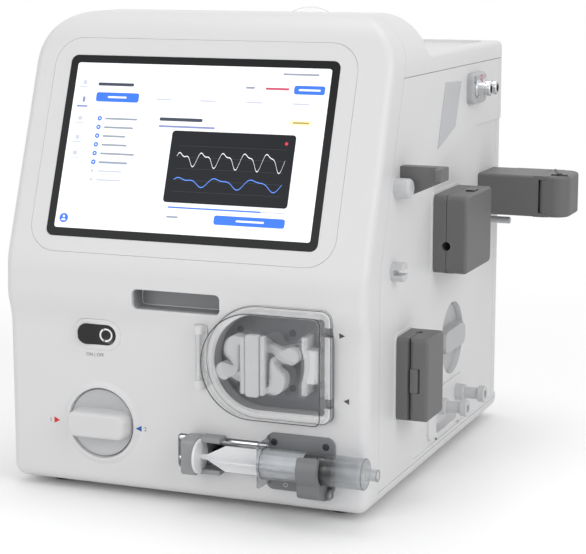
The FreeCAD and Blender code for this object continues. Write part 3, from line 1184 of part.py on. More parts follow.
def make_detector():
    """Tube detector: body on the panel, door that folds down, its latch and its pin."""
    seat = RIGHT - RECESS_DEPTH + SEAT_PROUD
    seam = RIGHT + DETECTOR_SEAM
    front = RIGHT + DETECTOR_REACH
    body = yz_box(DETECTOR_FRONT, DETECTOR_BACK, DETECTOR_LOW, DETECTOR_HIGH, seat, seam, 6.0)
    pin_x = seam + 5.5
    pin_z = DETECTOR_LOW + 4.2
    door = yz_box(DETECTOR_FRONT, DETECTOR_BACK, DETECTOR_LOW, DETECTOR_HIGH,
                  seam + SWING_GAP, front, 6.0, 3.0, front)
    profile = [(seam + SWING_GAP, DETECTOR_LOW, 5.0), (front, DETECTOR_LOW, 0),
               (front, DETECTOR_HIGH, 0), (seam + SWING_GAP, DETECTOR_HIGH, 0)]
    door = door.common(prism(profile, "xz", DETECTOR_FRONT, DETECTOR_BACK))
    ear = 9.0
    ears = []
    for start in (DETECTOR_FRONT + 4.0, DETECTOR_BACK - 4.0 - ear):
        profile = [(seam - 3.0, pin_z - 4.2, 0), (pin_x + 4.2, pin_z - 4.2, 4.1),
                   (pin_x + 4.2, pin_z + 4.2, 4.1), (seam - 3.0, pin_z + 4.2, 0)]
        ears.append(prism(profile, "xz", start, start + ear))
        door = door.cut(box(seam, pin_x + 4.6, start - FIT_GAP, start + ear + FIT_GAP,
                            DETECTOR_LOW - 1.0, pin_z + 4.6))
        sweep = rod(6.6, V(pin_x, start - FIT_GAP, pin_z), V(pin_x, start + ear + FIT_GAP, pin_z))
        door = door.cut(sweep)
    way = rod(DETECTOR_TUBE_RADIUS, V(seam + 0.25, DETECTOR_FRONT - 5, DETECTOR_TUBE_Z),
              V(seam + 0.25, DETECTOR_BACK + 5, DETECTOR_TUBE_Z))
    pin_start = V(pin_x, DETECTOR_FRONT + 6.0, pin_z)
    pin_end = V(pin_x, DETECTOR_BACK - 6.0, pin_z)
    pin = rod(DETECTOR_PIN_RADIUS, pin_start, pin_end)
    body = join([body] + ears).cut(way).cut(pin)
    middle = (DETECTOR_FRONT + DETECTOR_BACK) / 2
    window = prism(rectangle(middle - 22.0, middle + 22.0, DETECTOR_TUBE_Z - 16.0,
                             DETECTOR_TUBE_Z + 16.0, 4.0), "yz", seam - 2.0, seam + 2.5)
    door = door.cut(way).cut(window.common(box(seam, seam + 9.0, 0, 500, 0, 500)))
    door = door.cut(rod(DETECTOR_PIN_RADIUS + PIN_GAP, pin_start, pin_end))
    latch_x = (seam + front) / 2 + 2.0
    half = LATCH_WIDTH / 2
    pocket = box(latch_x - 4.5, latch_x + 4.5, LATCH_Y - half - FIT_GAP, LATCH_Y + half + FIT_GAP,
                 DETECTOR_HIGH - 12.0, DETECTOR_HIGH + 5.0)
    door = door.cut(pocket)
    latch = box(latch_x - 4.2, latch_x + 4.2, LATCH_Y - half, LATCH_Y + half,
                DETECTOR_HIGH - 8.0, DETECTOR_HIGH + 1.6)
    latch = rounded(latch, 1.0, lambda middle, edge: abs(middle.z - DETECTOR_HIGH - 1.6) < 0.01)
    export([body.removeSplitter()], "detector_body")
    export([door.removeSplitter()], "detector_door")
    export([latch], "detector_latch")
    export([pin], "detector_pin")


def make_clip_box():
    """Upright tube holder: body with a hinge tab, and a lid on an upright pin."""
    seat = RIGHT + SEAT_PROUD
    seam = RIGHT + CLIP_BOX_SEAM
    front = RIGHT + CLIP_BOX_REACH
    body = yz_box(CLIP_BOX_FRONT, CLIP_BOX_BACK, CLIP_BOX_LOW, CLIP_BOX_HIGH, seat, seam, 5.0)
    lid = yz_box(CLIP_BOX_FRONT, CLIP_BOX_BACK, CLIP_BOX_LOW, CLIP_BOX_HIGH,
                 seam + SWING_GAP, front, 5.0, 3.0, front)
    pin_x = seam + 5.5
    pin_y = CLIP_BOX_FRONT + CLIP_KNUCKLE
    profile = [(seam + SWING_GAP, CLIP_BOX_FRONT, 4.6), (front, CLIP_BOX_FRONT, 0),
               (front, CLIP_BOX_BACK, 0), (seam + SWING_GAP, CLIP_BOX_BACK, 0)]
    lid = lid.common(prism(profile, "xy", CLIP_BOX_LOW, CLIP_BOX_HIGH))
    profile = [(seam - 3.0, pin_y - CLIP_KNUCKLE, 0),
               (pin_x + CLIP_KNUCKLE, pin_y - CLIP_KNUCKLE, CLIP_KNUCKLE - 0.1),
               (pin_x + CLIP_KNUCKLE, pin_y + CLIP_KNUCKLE, CLIP_KNUCKLE - 0.1),
               (seam - 3.0, pin_y + CLIP_KNUCKLE, 0)]
    tab = prism(profile, "xy", CLIP_TAB_LOW, CLIP_TAB_HIGH)
    lid = lid.cut(box(seam, pin_x + CLIP_KNUCKLE + 0.5, CLIP_BOX_FRONT - 1.0,
                      pin_y + CLIP_KNUCKLE + 0.5, CLIP_TAB_LOW - FIT_GAP,
                      CLIP_TAB_HIGH + FIT_GAP))
    lid = lid.cut(rod(6.8, V(pin_x, pin_y, CLIP_TAB_LOW - FIT_GAP),
                      V(pin_x, pin_y, CLIP_TAB_HIGH + FIT_GAP)))
    pin_start = V(pin_x, pin_y, CLIP_TAB_LOW - 12.0)
    pin_end = V(pin_x, pin_y, CLIP_TAB_HIGH + 12.0)
    pin = rod(CLIP_PIN_RADIUS, pin_start, pin_end)
    middle_y = (CLIP_BOX_FRONT + CLIP_BOX_BACK) / 2 + 5.0
    way = rod(CLIP_BOX_TUBE_RADIUS, V(seam + 0.25, middle_y, CLIP_BOX_LOW - 5.0),
              V(seam + 0.25, middle_y, CLIP_BOX_HIGH + 5.0))
    slope = CLIP_RELIEF_WIDTH / CLIP_RELIEF_DEPTH
    relief = prism([(seam - CLIP_RELIEF_WIDTH - slope, CLIP_BOX_FRONT - 1.0, 0),
                    (seam + 1.3, CLIP_BOX_FRONT - 1.0, 0), (seam + 1.3, CLIP_BOX_FRONT, 0),
                    (seam, CLIP_BOX_FRONT + CLIP_RELIEF_DEPTH, 0)],
                   "xy", CLIP_BOX_LOW - 1.0, CLIP_BOX_HIGH + 1.0)
    body = join([body, tab]).cut(relief).cut(pin).cut(way)
    lid = lid.cut(rod(CLIP_PIN_RADIUS + PIN_GAP, pin_start - V(0, 0, 0.1), pin_end + V(0, 0, 0.1)))
    lid = lid.cut(way)
    export([body.removeSplitter()], "clip_box_body")
    export([lid.removeSplitter()], "clip_box_lid")
    export([pin], "clip_box_pin")


def make_arm():
    """Bottle holder: arm with a round bay, and a jaw on an upright pin that closes it."""
    start = RIGHT - RECESS_DEPTH
    end = RIGHT + ARM_REACH
    form = prism([(start, ARM_FRONT, 0), (end, ARM_FRONT, ARM_END_RADIUS),
                  (end, ARM_BACK, ARM_END_RADIUS), (start, ARM_BACK, 0)],
                 "xy", ARM_LOW, ARM_HIGH)
    form = rounded(form, 3.0, lambda middle, edge:
                   (abs(middle.z - ARM_HIGH) < 0.01 or abs(middle.z - ARM_LOW) < 0.01)
                   and middle.x > start + 1.0)
    bay = rod(BAY_RADIUS, V(RIGHT + BAY_X, BAY_Y, ARM_LOW - 5.0),
              V(RIGHT + BAY_X, BAY_Y, ARM_HIGH + 5.0))
    form = form.cut(bay)
    split = RIGHT + JAW_X
    arm = form.common(box(start - 1, split, 0, 500, 0, 500))
    jaw = form.common(box(split + SWING_GAP, end + 1, 0, 500, 0, 500))
    jaw = jaw.common(prism([(split + SWING_GAP, ARM_FRONT, 5.4), (end + 1, ARM_FRONT, 0),
                            (end + 1, ARM_BACK + 1, 0), (split + SWING_GAP, ARM_BACK + 1, 0)],
                           "xy", ARM_LOW, ARM_HIGH))
    pin_x = RIGHT + JAW_PIN_X
    flange = JAW_FLANGE
    eye = JAW_PIN_Y - ARM_FRONT
    for low in (ARM_LOW, ARM_HIGH - flange):
        neck = box(split - 5.0, pin_x, ARM_FRONT, JAW_PIN_Y + eye, low, low + flange)
        disc = rod(eye, V(pin_x, JAW_PIN_Y, low), V(pin_x, JAW_PIN_Y, low + flange))
        arm = arm.fuse(neck).fuse(disc)
        z0 = low - 1.0 if low == ARM_LOW else low - FIT_GAP
        z1 = low + flange + FIT_GAP if low == ARM_LOW else ARM_HIGH + 1.0
        jaw = jaw.cut(box(split - 1.0, pin_x + 0.4, ARM_FRONT - 1.0, JAW_PIN_Y + eye + 0.5, z0, z1))
        jaw = jaw.cut(rod(eye + 0.5, V(pin_x, JAW_PIN_Y, z0), V(pin_x, JAW_PIN_Y, z1)))
    pin = rod(JAW_PIN_RADIUS, V(pin_x, JAW_PIN_Y, ARM_LOW + 0.5),
              V(pin_x, JAW_PIN_Y, ARM_HIGH - 0.5))
    room = rod(eye + FIT_GAP, V(pin_x, JAW_PIN_Y, ARM_LOW + flange),
               V(pin_x, JAW_PIN_Y, ARM_HIGH - flange))
    arm = arm.cut(room).cut(pin)
    jaw = jaw.cut(rod(JAW_PIN_RADIUS + PIN_GAP, V(pin_x, JAW_PIN_Y, ARM_LOW),
                      V(pin_x, JAW_PIN_Y, ARM_HIGH)))
    export([arm.removeSplitter()], "holder_arm")
    export([jaw.removeSplitter()], "holder_jaw")
    export([pin], "jaw_pin")


def make_side_fittings():
    """Coupling boss and couplings, inlay, bracket, pegs, clip, port plate and ports."""
    half = BOSS_WIDTH / 2
    tall = BOSS_HEIGHT / 2
    boss = yz_box(COUPLING_Y - half, COUPLING_Y + half, COUPLING_Z - tall, COUPLING_Z + tall,
                  RIGHT, RIGHT + BOSS_REACH, 8.0, 2.5, RIGHT + BOSS_REACH)
    face = RIGHT + BOSS_REACH
    couplings = []
    for side in (-1, 1):
        y = COUPLING_Y + side * COUPLING_SPACING / 2
        collar = rod(COUPLING_RADIUS + 2.4, V(face, y, COUPLING_Z), V(face + 2.5, y, COUPLING_Z))
        collar = bevelled(collar, 0.8, lambda middle, edge: abs(middle.x - face - 2.5) < 0.01)
        body = rod(COUPLING_RADIUS, V(face, y, COUPLING_Z), V(face + COUPLING_REACH, y, COUPLING_Z))
        body = bevelled(body, 0.8, lambda middle, edge:
                        abs(middle.x - face - COUPLING_REACH) < 0.01)
        groove = tube(COUPLING_RADIUS + 2.0, COUPLING_RADIUS - 1.0,
                      V(face + 9.0, y, COUPLING_Z), V(face + 11.5, y, COUPLING_Z))
        bore = rod(COUPLING_BORE_RADIUS, V(face + 3.0, y, COUPLING_Z),
                   V(face + COUPLING_REACH + 1.0, y, COUPLING_Z))
        couplings.append(collar.fuse(body).cut(groove).cut(bore).removeSplitter())
    inlay = prism([(226.0, 386.8, 8.0), (277.9, 386.2, 8.0), (259.1, 344.2, 8.0),
                   (199.0, 325.1, 8.0)], "yz", RIGHT, RIGHT + 1.2)
    inlay = rounded(inlay, 0.8, lambda middle, edge: abs(middle.x - RIGHT - 1.2) < 0.01)
    export([boss], "coupling_boss")
    export(couplings, "fluid_couplings")
    export([inlay], "side_inlay")
    tip = RIGHT + BRACKET_REACH
    back = BRACKET_FRONT + BRACKET_THICKNESS
    profile = [(RIGHT, BRACKET_TOP, 0), (tip, BRACKET_TOP, 3.0), (tip, BRACKET_TOP - 12.5, 3.0),
               (RIGHT + 6.0, BRACKET_TOP - 29.0, 6.0), (RIGHT, BRACKET_TOP - 29.0, 0)]
    bracket = prism(profile, "xz", BRACKET_FRONT, back)
    hook = box(tip - 6.0, tip, BRACKET_FRONT - 13.0, back, BRACKET_TOP - 12.5, BRACKET_TOP)
    hook = rounded(hook, 2.0, lambda middle, edge: edge.Length < 7.0 or middle.y < 75.0)
    export([bracket.fuse(hook).removeSplitter()], "line_bracket")
    peg = rod(PEG_RADIUS, V(RIGHT, PEG_Y, PEG_Z), V(RIGHT + PEG_REACH, PEG_Y, PEG_Z))
    peg = rounded(peg, 2.0, lambda middle, edge: abs(middle.x - RIGHT - PEG_REACH) < 0.01)
    waist = tube(PEG_RADIUS + 5.0, PEG_RADIUS - 2.5, V(RIGHT + 3.0, PEG_Y, PEG_Z),
                 V(RIGHT + 9.0, PEG_Y, PEG_Z))
    small = rod(3.7, V(RIGHT - RECESS_DEPTH, SMALL_PEG_Y, SMALL_PEG_Z),
                V(RIGHT + 22.0, SMALL_PEG_Y, SMALL_PEG_Z))
    small = rounded(small, 1.5, lambda middle, edge: abs(middle.x - RIGHT - 22.0) < 0.01)
    export([peg.cut(waist), small], "line_pegs")
    clip = rod(CLIP_RADIUS, V(RIGHT, CLIP_Y, CLIP_Z), V(RIGHT + 12.0, CLIP_Y, CLIP_Z))
    clip = rounded(clip, 1.2, lambda middle, edge: abs(middle.x - RIGHT - 12.0) < 0.01)
    notch = box(RIGHT + 3.0, RIGHT + 20.0, CLIP_Y - CLIP_RADIUS - 2.0, CLIP_Y + CLIP_RADIUS + 2.0,
                CLIP_Z - CLIP_SLOT / 2, CLIP_Z + CLIP_SLOT / 2)
    export([clip.cut(notch)], "line_clip")
    floor = RIGHT - RECESS_DEPTH
    plate = yz_box(PORT_Y - 28.0, PORT_Y + PORT_SPACING + 28.0, PORT_PLATE_LOW, PORT_PLATE_HIGH,
                   floor, floor + 3.0, 10.0, 1.2, floor + 3.0)
    scoop_high = SCOOP_LOW + SCOOP_HEIGHT
    cup = prism(rectangle(SCOOP_FRONT - CUP_WALL, SCOOP_BACK + CUP_WALL, SCOOP_LOW - CUP_WALL,
                          scoop_high + CUP_WALL, 6.0), "yz", floor - SCOOP_DEPTH - CUP_WALL,
                floor + 0.5)
    scoop = prism(rectangle(SCOOP_FRONT, SCOOP_BACK, SCOOP_LOW, scoop_high, 5.0), "yz",
                  floor - SCOOP_DEPTH, floor + 10.0)
    export([plate.fuse(cup).cut(scoop).removeSplitter()], "port_plate")
    ports = []
    for index in range(2):
        y = PORT_Y + index * PORT_SPACING
        base = V(floor + 3.0, y, PORT_Z)
        end = V(RIGHT + PORT_REACH, y, PORT_Z)
        flange = rod(PORT_RADIUS + 1.4, base, base + V(4.0, 0, 0))
        stem = rod(PORT_RADIUS - 1.2, base, end)
        barbs = [stem, flange]
        for step in (8.0, 13.5, 19.0):
            barbs.append(Part.makeCone(PORT_RADIUS, PORT_RADIUS - 1.2, 4.5,
                                       base + V(step, 0, 0), V(1, 0, 0)))
        port = join(barbs).cut(rod(PORT_BORE_RADIUS, base + V(4.0, 0, 0), end + V(1, 0, 0)))
        ports.append(port)
    export(ports, "drain_ports")


def make_hoop():
    """Bent wire hoop that stands in the deck."""
    foot = V(HOOP_X, HOOP_Y, hoop_foot())
    ring = Part.makeTorus(HOOP_RADIUS, HOOP_WIRE_RADIUS, foot, V(0, 1, 0))
    upper = ring.common(box(HOOP_X - 60.0, HOOP_X + 60.0, HOOP_Y - 10.0, HOOP_Y + 10.0,
                            foot.z, foot.z + 60.0))
    export([upper], "deck_hoop")


def inlet_outline(gap):
    """Outline of the mains inlet's opening in the rear panel."""
    return rectangle(INLET_X - 14.0 - gap, INLET_X + 14.0 + gap, INLET_Z - 10.5 - gap,
                     INLET_Z + 10.5 + gap, 3.0)


def make_inside():
    """Hydraulic unit, power supply and board on the tray, and the mains inlet."""
    floor = FOOT_HEIGHT + WALL
    tank = rod(38.0, V(-95.0, 250.0, floor), V(-95.0, 250.0, floor + 150.0))
    tank = rounded(tank, 6.0, lambda middle, edge: abs(middle.z - floor - 150.0) < 0.01)
    block = box(-70.0, 40.0, 215.0, 285.0, floor, floor + 60.0)
    pumps = [rod(20.0, V(x, 250.0, floor + 55.0), V(x, 250.0, floor + 120.0))
             for x in (-20.0, 18.0)]
    export([join([tank, block] + pumps)], "hydraulic_unit")
    supply = box(60.0, 150.0, 300.0, 400.0, floor, floor + 60.0)
    vents = [box(64.0 + 10.0 * index, 69.0 + 10.0 * index, 310.0, 390.0, floor + 56.0,
                 floor + 61.0) for index in range(8)]
    export([supply.cut(Part.makeCompound(vents))], "power_supply")
    board = box(-150.0, 40.0, 320.0, 321.6, floor, floor + 160.0)
    chips = [box(-140.0 + 32.0 * index, -118.0 + 32.0 * index, 317.6, 320.5, floor + rise,
                 floor + rise + 16.0) for index in range(5) for rise in (30.0, 80.0, 120.0)]
    export([join([board] + chips)], "control_board")
    back = HOUSING_DEPTH
    inlet = prism(inlet_outline(0), "xz", back - 22.0, back - 0.4)
    rim = prism(rectangle(INLET_X - 25.0, INLET_X + 25.0, INLET_Z - 11.5, INLET_Z + 11.5, 8.0),
                "xz", back - WALL - 2.5, back - WALL)
    hollow = prism(rectangle(INLET_X - 12.0, INLET_X + 12.0, INLET_Z - 8.5, INLET_Z + 8.5, 2.5),
                   "xz", back - 18.0, back + 5.0)
    blades = [box(INLET_X + a - 1.0, INLET_X + a + 1.0, back - 19.0, back - 4.0,
                  INLET_Z + b - 2.0, INLET_Z + b + 2.0)
              for a, b in ((-7.0, -2.0), (0.0, 3.0), (7.0, -2.0))]
    export([join([inlet.fuse(rim).cut(hollow)] + blades)], "mains_inlet")


def main():
    """Write every node."""
    os.makedirs("parts", exist_ok=True)
    make_housing()
    make_display()
    make_switch()
    make_knobs()
    make_pump_base()
    make_pump_cover()
    make_rotor()
    make_syringe()
    make_driver()
    make_syringe_plate()
    make_detector()
    make_clip_box()
    make_arm()
    make_side_fittings()
    make_hoop()
    make_inside()


main()
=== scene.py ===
# %% [markdown]
# # A table-top dialysis machine
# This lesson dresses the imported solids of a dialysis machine: it gives each one a finish,
# adds what is printed or shown on them, and sets up a plain studio. Every solid already lies
# in place, in metres, so nothing is moved. The front faces -Y, the right side faces +X.

# %% Load the solids
from math import atan2, cos, pi, radians, sin
import bmesh
import bpy
from mathutils import Matrix, Vector
from mathutils.bvhtree import BVHTree


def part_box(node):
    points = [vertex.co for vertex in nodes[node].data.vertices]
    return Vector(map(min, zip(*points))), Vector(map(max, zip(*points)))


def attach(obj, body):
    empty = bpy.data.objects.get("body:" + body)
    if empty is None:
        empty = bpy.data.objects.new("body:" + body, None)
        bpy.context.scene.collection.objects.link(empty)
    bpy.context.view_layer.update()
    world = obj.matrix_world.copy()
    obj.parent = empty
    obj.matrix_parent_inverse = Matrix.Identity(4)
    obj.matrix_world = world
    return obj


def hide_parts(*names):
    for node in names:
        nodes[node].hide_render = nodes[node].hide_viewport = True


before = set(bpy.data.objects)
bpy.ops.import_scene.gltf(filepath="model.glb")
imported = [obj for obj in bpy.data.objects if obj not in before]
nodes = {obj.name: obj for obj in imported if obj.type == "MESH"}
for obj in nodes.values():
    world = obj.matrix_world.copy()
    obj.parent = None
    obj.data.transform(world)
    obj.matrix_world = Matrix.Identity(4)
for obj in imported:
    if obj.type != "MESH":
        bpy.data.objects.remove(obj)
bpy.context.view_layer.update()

# %% [markdown]
# ## Sizes and places
# The housing is laid out from its own centre plane, its lower front face and the floor, in
# millimetres, because a designer measures it that way. One function turns such a place into
# the metres of the scene. The display leans back, so it has its own pair of directions.

# %% Places in millimetres
HOUSING_CENTRE_X = -47.5
FRONT_FACE_Y = -199.35
SCREEN_LEAN = radians(20.3)
SCREEN_FOOT = (-5.0, -5.0, 228.0)
GLASS_PROUD = 0.3


def at(x, y, z):
    """Place in the scene, in metres, of a place on the housing, in millimetres."""
    return Vector((x + HOUSING_CENTRE_X, y + FRONT_FACE_Y, z)) / 1000


def on_screen(across, up, out):
    """Place in the scene of a place on the leaning display."""
    lean = SCREEN_LEAN
    return at(SCREEN_FOOT[0] + across,
              SCREEN_FOOT[1] + up * sin(lean) - out * cos(lean),
              SCREEN_FOOT[2] + up * cos(lean) + out * sin(lean))


print("display foot at", tuple(round(c, 4) for c in on_screen(0, 0, 0)))

# %% [markdown]
# ## Helpers for materials
# Colours are written as they look on a screen, in hex, and turned to linear light once.
# One small function adds a node, sets its values and links its inputs.

# %% Colour and node helpers
MIX_LOW = 6
MIX_HIGH = 7
MIX_RESULT = 2
CLOUD_SCALE = 9.0
GLOSS_SPREAD = 0.05
BUMP_STRENGTH = 0.35
PLASTIC_IOR = 1.5


def linear(code):
    """Linear RGBA of an sRGB hex colour."""
    channels = [int(code[i:i + 2], 16) / 255 for i in (1, 3, 5)]
    return tuple(c / 12.92 if c <= 0.04045 else ((c + 0.055) / 1.055) ** 2.4
                 for c in channels) + (1.0,)


def connect(tree, node, inputs):
    """Give a node's inputs their values, or their links where a value is a socket."""
    for name, value in inputs.items():
        if isinstance(value, bpy.types.NodeSocket):
            tree.links.new(value, node.inputs[name])
        else:
            node.inputs[name].default_value = value


def add(tree, kind, inputs=None, **settings):
    """Node of a kind with its settings, its values and its links."""
    node = tree.nodes.new(kind)
    for name, value in settings.items():
        setattr(node, name, value)
    connect(tree, node, inputs or {})
    return node


def new_material(name):
    """Empty node material with a Principled shader, and its tree and shader."""
    material = bpy.data.materials.new(name)
    material.use_nodes = True
    tree = material.node_tree
    shader = tree.nodes["Principled BSDF"]
    return material, tree, shader


def speckle(tree, shader, colour, change, size_mm, depth_mm, roughness):
    """Fine uneven colour, gloss and height, as a moulded or cast skin has."""
    place = add(tree, "ShaderNodeTexCoord").outputs["Object"]
    grain = add(tree, "ShaderNodeTexNoise", {
        "Vector": place, "Scale": 1000 / size_mm, "Detail": 2.0})
    cloud = add(tree, "ShaderNodeTexNoise", {
        "Vector": place, "Scale": CLOUD_SCALE, "Detail": 3.0})
    base = linear(colour)[:3]
    low = tuple(c * (1 - change) for c in base) + (1.0,)
    high = tuple(min(1.0, c * (1 + change)) for c in base) + (1.0,)
    tint = add(tree, "ShaderNodeMix", {
        "Factor": cloud.outputs["Fac"], MIX_LOW: low, MIX_HIGH: high}, data_type="RGBA")
    gloss = add(tree, "ShaderNodeMapRange", {
        "Value": grain.outputs["Fac"], "To Min": roughness - GLOSS_SPREAD,
        "To Max": roughness + GLOSS_SPREAD})
    bump = add(tree, "ShaderNodeBump", {
        "Height": grain.outputs["Fac"], "Strength": BUMP_STRENGTH, "Distance": depth_mm / 1000})
    connect(tree, shader, {
        "Base Color": tint.outputs[MIX_RESULT], "Roughness": gloss.outputs["Result"],
        "Normal": bump.outputs["Normal"]})


def dress(material, *names):
    """A finish for these solids."""
    for name in names:
        for slot in nodes[name].material_slots:
            slot.material = material


# %% [markdown]
# ## Moulded housing
# The shells are painted ABS: a cool off-white, a soft satin and a spark-eroded grain of
# about half a millimetre that only shows where light grazes it. A noise texture in Object
# coordinates gives grain and gloss together, so both follow the solid.

# %% Housing finish


def moulded(name, colour, roughness, size_mm=0.6, depth_mm=0.02, change=0.012):
    """Moulded plastic: no metal, an even grain."""
    material, tree, shader = new_material(name)
    shader.inputs["IOR"].default_value = PLASTIC_IOR
    speckle(tree, shader, colour, change, size_mm, depth_mm, roughness)
    return material


housing_abs = moulded("painted ABS, off-white satin", "#E3E3E4", 0.42)
dress(housing_abs, "front_shell", "left_panel", "right_panel", "top_cover", "rear_panel",
      "base_tray", "screen_bezel", "switch_rim", "cover_hinge", "port_plate")
dress(moulded("moulded ABS, knob off-white", "#DCDCDD", 0.38), "front_knob")
dress(moulded("painted ABS, soft grey", "#CFD0D2", 0.45), "side_inlay")
dress(moulded("moulded ABS, dial light grey", "#BEBFC1", 0.40), "side_dial")
print("housing shells dressed")

# %% [markdown]
# ## Dark fittings, pump parts and rubber
# The holders on the side are glass-filled nylon: mid to dark grey with a coarse matt grain.
# The pump parts are smoother acetal, in greys that step from part to part.

# %% Greys of the fittings
nylon_dark = moulded("glass-filled nylon, dark grey", "#6A6A6A", 0.50, 0.8, 0.03, 0.03)
dress(nylon_dark, "detector_body", "detector_door", "clip_box_body", "clip_box_lid",
      "holder_jaw", "holder_arm", "line_bracket")
dress(moulded("acetal, light grey", "#B9BABC", 0.36), "coupling_boss")
dress(moulded("acetal, white", "#DCDDDE", 0.38), "segment_holder", "cover_pin")
dress(moulded("acetal, dark grey", "#5A5B5E", 0.40), "roller_left", "roller_right")
rotor_acetal = moulded("acetal, rotor grey", "#CBCCCE", 0.36)
dress(rotor_acetal, "pump_rotor", "rotor_grip")
dress(moulded("moulded ABS, plate grey", "#7F8083", 0.45), "syringe_plate")
driver_abs = moulded("moulded ABS, driver grey", "#98999B", 0.42)
dress(driver_abs, "plunger_driver")
dress(moulded("moulded ABS, clamp grey", "#77787A", 0.42), "syringe_clamp")
clip_abs = moulded("moulded ABS, clip grey", "#CDCED0", 0.42)
dress(clip_abs, "line_clip", "line_pegs", "drain_ports")
dress(moulded("nitrile rubber, black", "#1B1B1C", 0.62, 1.2, 0.05, 0.05), "feet",
      "plunger_stopper")
dress(moulded("moulded ABS, gloss black", "#111112", 0.22, 0.6, 0.01), "power_rocker",
      "detector_latch", "mains_inlet")
print("fittings dressed")

# %% [markdown]
# ## Two-tone pump base
# The base is moulded in two shots: a rim in the housing's off-white, and a grey well that
# hides worn tube. The step between them lies just behind the front of the rim, so the colour
# follows the depth: object coordinates along Y pick one or the other.

# %% Pump base finish
PUMP_RISE = 8.0
RIM_DEPTH = 1.2


def two_shot(name, front_colour, back_colour, depth_mm, roughness):
    """Moulded plastic with one colour in front of a depth and another behind it."""
    material = moulded(name, back_colour, roughness)
    tree = material.node_tree
    shader = tree.nodes["Principled BSDF"]
    behind = shader.inputs["Base Color"].links[0].from_socket
    place = add(tree, "ShaderNodeTexCoord").outputs["Object"]
    depth = add(tree, "ShaderNodeSeparateXYZ", {"Vector": place}).outputs["Y"]
    step = add(tree, "ShaderNodeMath", {0: depth, 1: at(0, depth_mm, 0).y},
               operation="GREATER_THAN")
    pick = add(tree, "ShaderNodeMix", {
        "Factor": step.outputs[0], MIX_LOW: linear(front_colour), MIX_HIGH: behind},
        data_type="RGBA")
    tree.links.new(pick.outputs[MIX_RESULT], shader.inputs["Base Color"])
    return material


dress(two_shot("two-shot acetal, white rim and grey well", "#E3E3E4", "#85868A",
               RIM_DEPTH - PUMP_RISE, 0.40), "pump_base")
print("pump base dressed")

# %% [markdown]
# ## Metal
# Pins, rods and couplings are turned stainless steel. Fine turning lines run round each
# piece; a stretched noise gives a faint banding in the gloss and keeps the metal's own IOR.
# The lines are drawn 0.4 mm apart, coarser than real ones, so that they show.

# %% Steel
TURNING_SCALE = (2500.0, 60.0, 60.0)
STEEL_SPREAD = 0.06


def turned_steel(name, colour, other, roughness):
    """Turned stainless steel with faint banding along one axis."""
    material, tree, shader = new_material(name)
    place = add(tree, "ShaderNodeTexCoord").outputs["Object"]
    stretch = add(tree, "ShaderNodeMapping", {"Vector": place, "Scale": TURNING_SCALE})
    lines = add(tree, "ShaderNodeTexNoise", {"Vector": stretch.outputs["Vector"], "Scale": 1.0})
    gloss = add(tree, "ShaderNodeMapRange", {
        "Value": lines.outputs["Fac"], "To Min": roughness - STEEL_SPREAD,
        "To Max": roughness + STEEL_SPREAD})
    tint = add(tree, "ShaderNodeMix", {
        "Factor": lines.outputs["Fac"], MIX_LOW: linear(colour), MIX_HIGH: linear(other)},
        data_type="RGBA")
    connect(tree, shader, {
        "Metallic": 1.0, "Base Color": tint.outputs[MIX_RESULT],
        "Roughness": gloss.outputs["Result"]})
    return material


steel = turned_steel("turned stainless steel", "#CFD0D2", "#DADBDD", 0.24)
dress(turned_steel("blackened steel", "#4E4F53", "#5A5B5F", 0.36), "panel_screws")
dress(steel, "rotor_shaft", "roller_pins", "guide_rods",
      "lead_screw", "clamp_pin", "fluid_couplings", "detector_pin", "clip_box_pin", "jaw_pin")
dress(moulded("painted steel, dark", "#3A3A3C", 0.45), "pump_motor", "syringe_motor")
dress(moulded("polypropylene, natural", "#D5D4CC", 0.50), "hydraulic_unit")
dress(moulded("glass-epoxy laminate, green", "#1F5B38", 0.40), "control_board")
dress(turned_steel("galvanised sheet", "#B5B7BA", "#C6C8CB", 0.42), "power_supply")
print("metal and inner units dressed")

# %% [markdown]
# ## Clear plastic and glass
# The pump cover and the hoop are clear PMMA (IOR 1.49), the syringe is clear polypropylene
# (IOR 1.49 but cloudier), and the display has a dark printed border under thin glass. A thin
# wall lets most light straight through, also the light that casts shadows, so part of the
# clear plastic is left out by its alpha: the pump behind it stays as bright as it is.

# %% Clear materials
CLEAR_IOR = 1.49
CLEAR_CLOUD_SCALE = 40.0
CLEAR_SPREAD = 0.4
GLASS_GLOSS = 0.12


def clear(name, colour, roughness, body):
    """Clear plastic with faint unevenness in its gloss; body is how much of it shows."""
    material, tree, shader = new_material(name)
    place = add(tree, "ShaderNodeTexCoord").outputs["Object"]
    cloud = add(tree, "ShaderNodeTexNoise", {"Vector": place, "Scale": CLEAR_CLOUD_SCALE})
    gloss = add(tree, "ShaderNodeMapRange", {
        "Value": cloud.outputs["Fac"], "To Min": roughness * (1 - CLEAR_SPREAD),
        "To Max": roughness * (1 + CLEAR_SPREAD)})
    connect(tree, shader, {
        "Base Color": linear(colour), "Transmission Weight": 1.0, "Alpha": body,
        "IOR": CLEAR_IOR, "Roughness": gloss.outputs["Result"]})
    return material


dress(clear("clear PMMA", "#FFFFFF", 0.03, 0.22), "pump_cover", "deck_hoop")
clear_pp = clear("clear polypropylene", "#DDE0E3", 0.10, 0.6)
dress(clear_pp, "syringe_barrel")
plunger_pp = moulded("polypropylene, translucent white", "#E9EAEC", 0.35)
dress(plunger_pp, "syringe_plunger")
glass_border = moulded("display glass over a dark border", "#222324", 0.16, 0.6, 0.002)
glass_shader = glass_border.node_tree.nodes["Principled BSDF"]
glass_shader.inputs["Specular IOR Level"].default_value = GLASS_GLOSS
dress(glass_border, "display_glass", "display_module")
print("clear pieces dressed")

# %% [markdown]
# ## Solids from loops
# Most added pieces are one loop of points after another: a plate, a cup, a turned pin, a
# bead along an edge. One function joins the loops to a closed solid, another makes it an
# object with its finish and its body, and short ones lay out the loops.

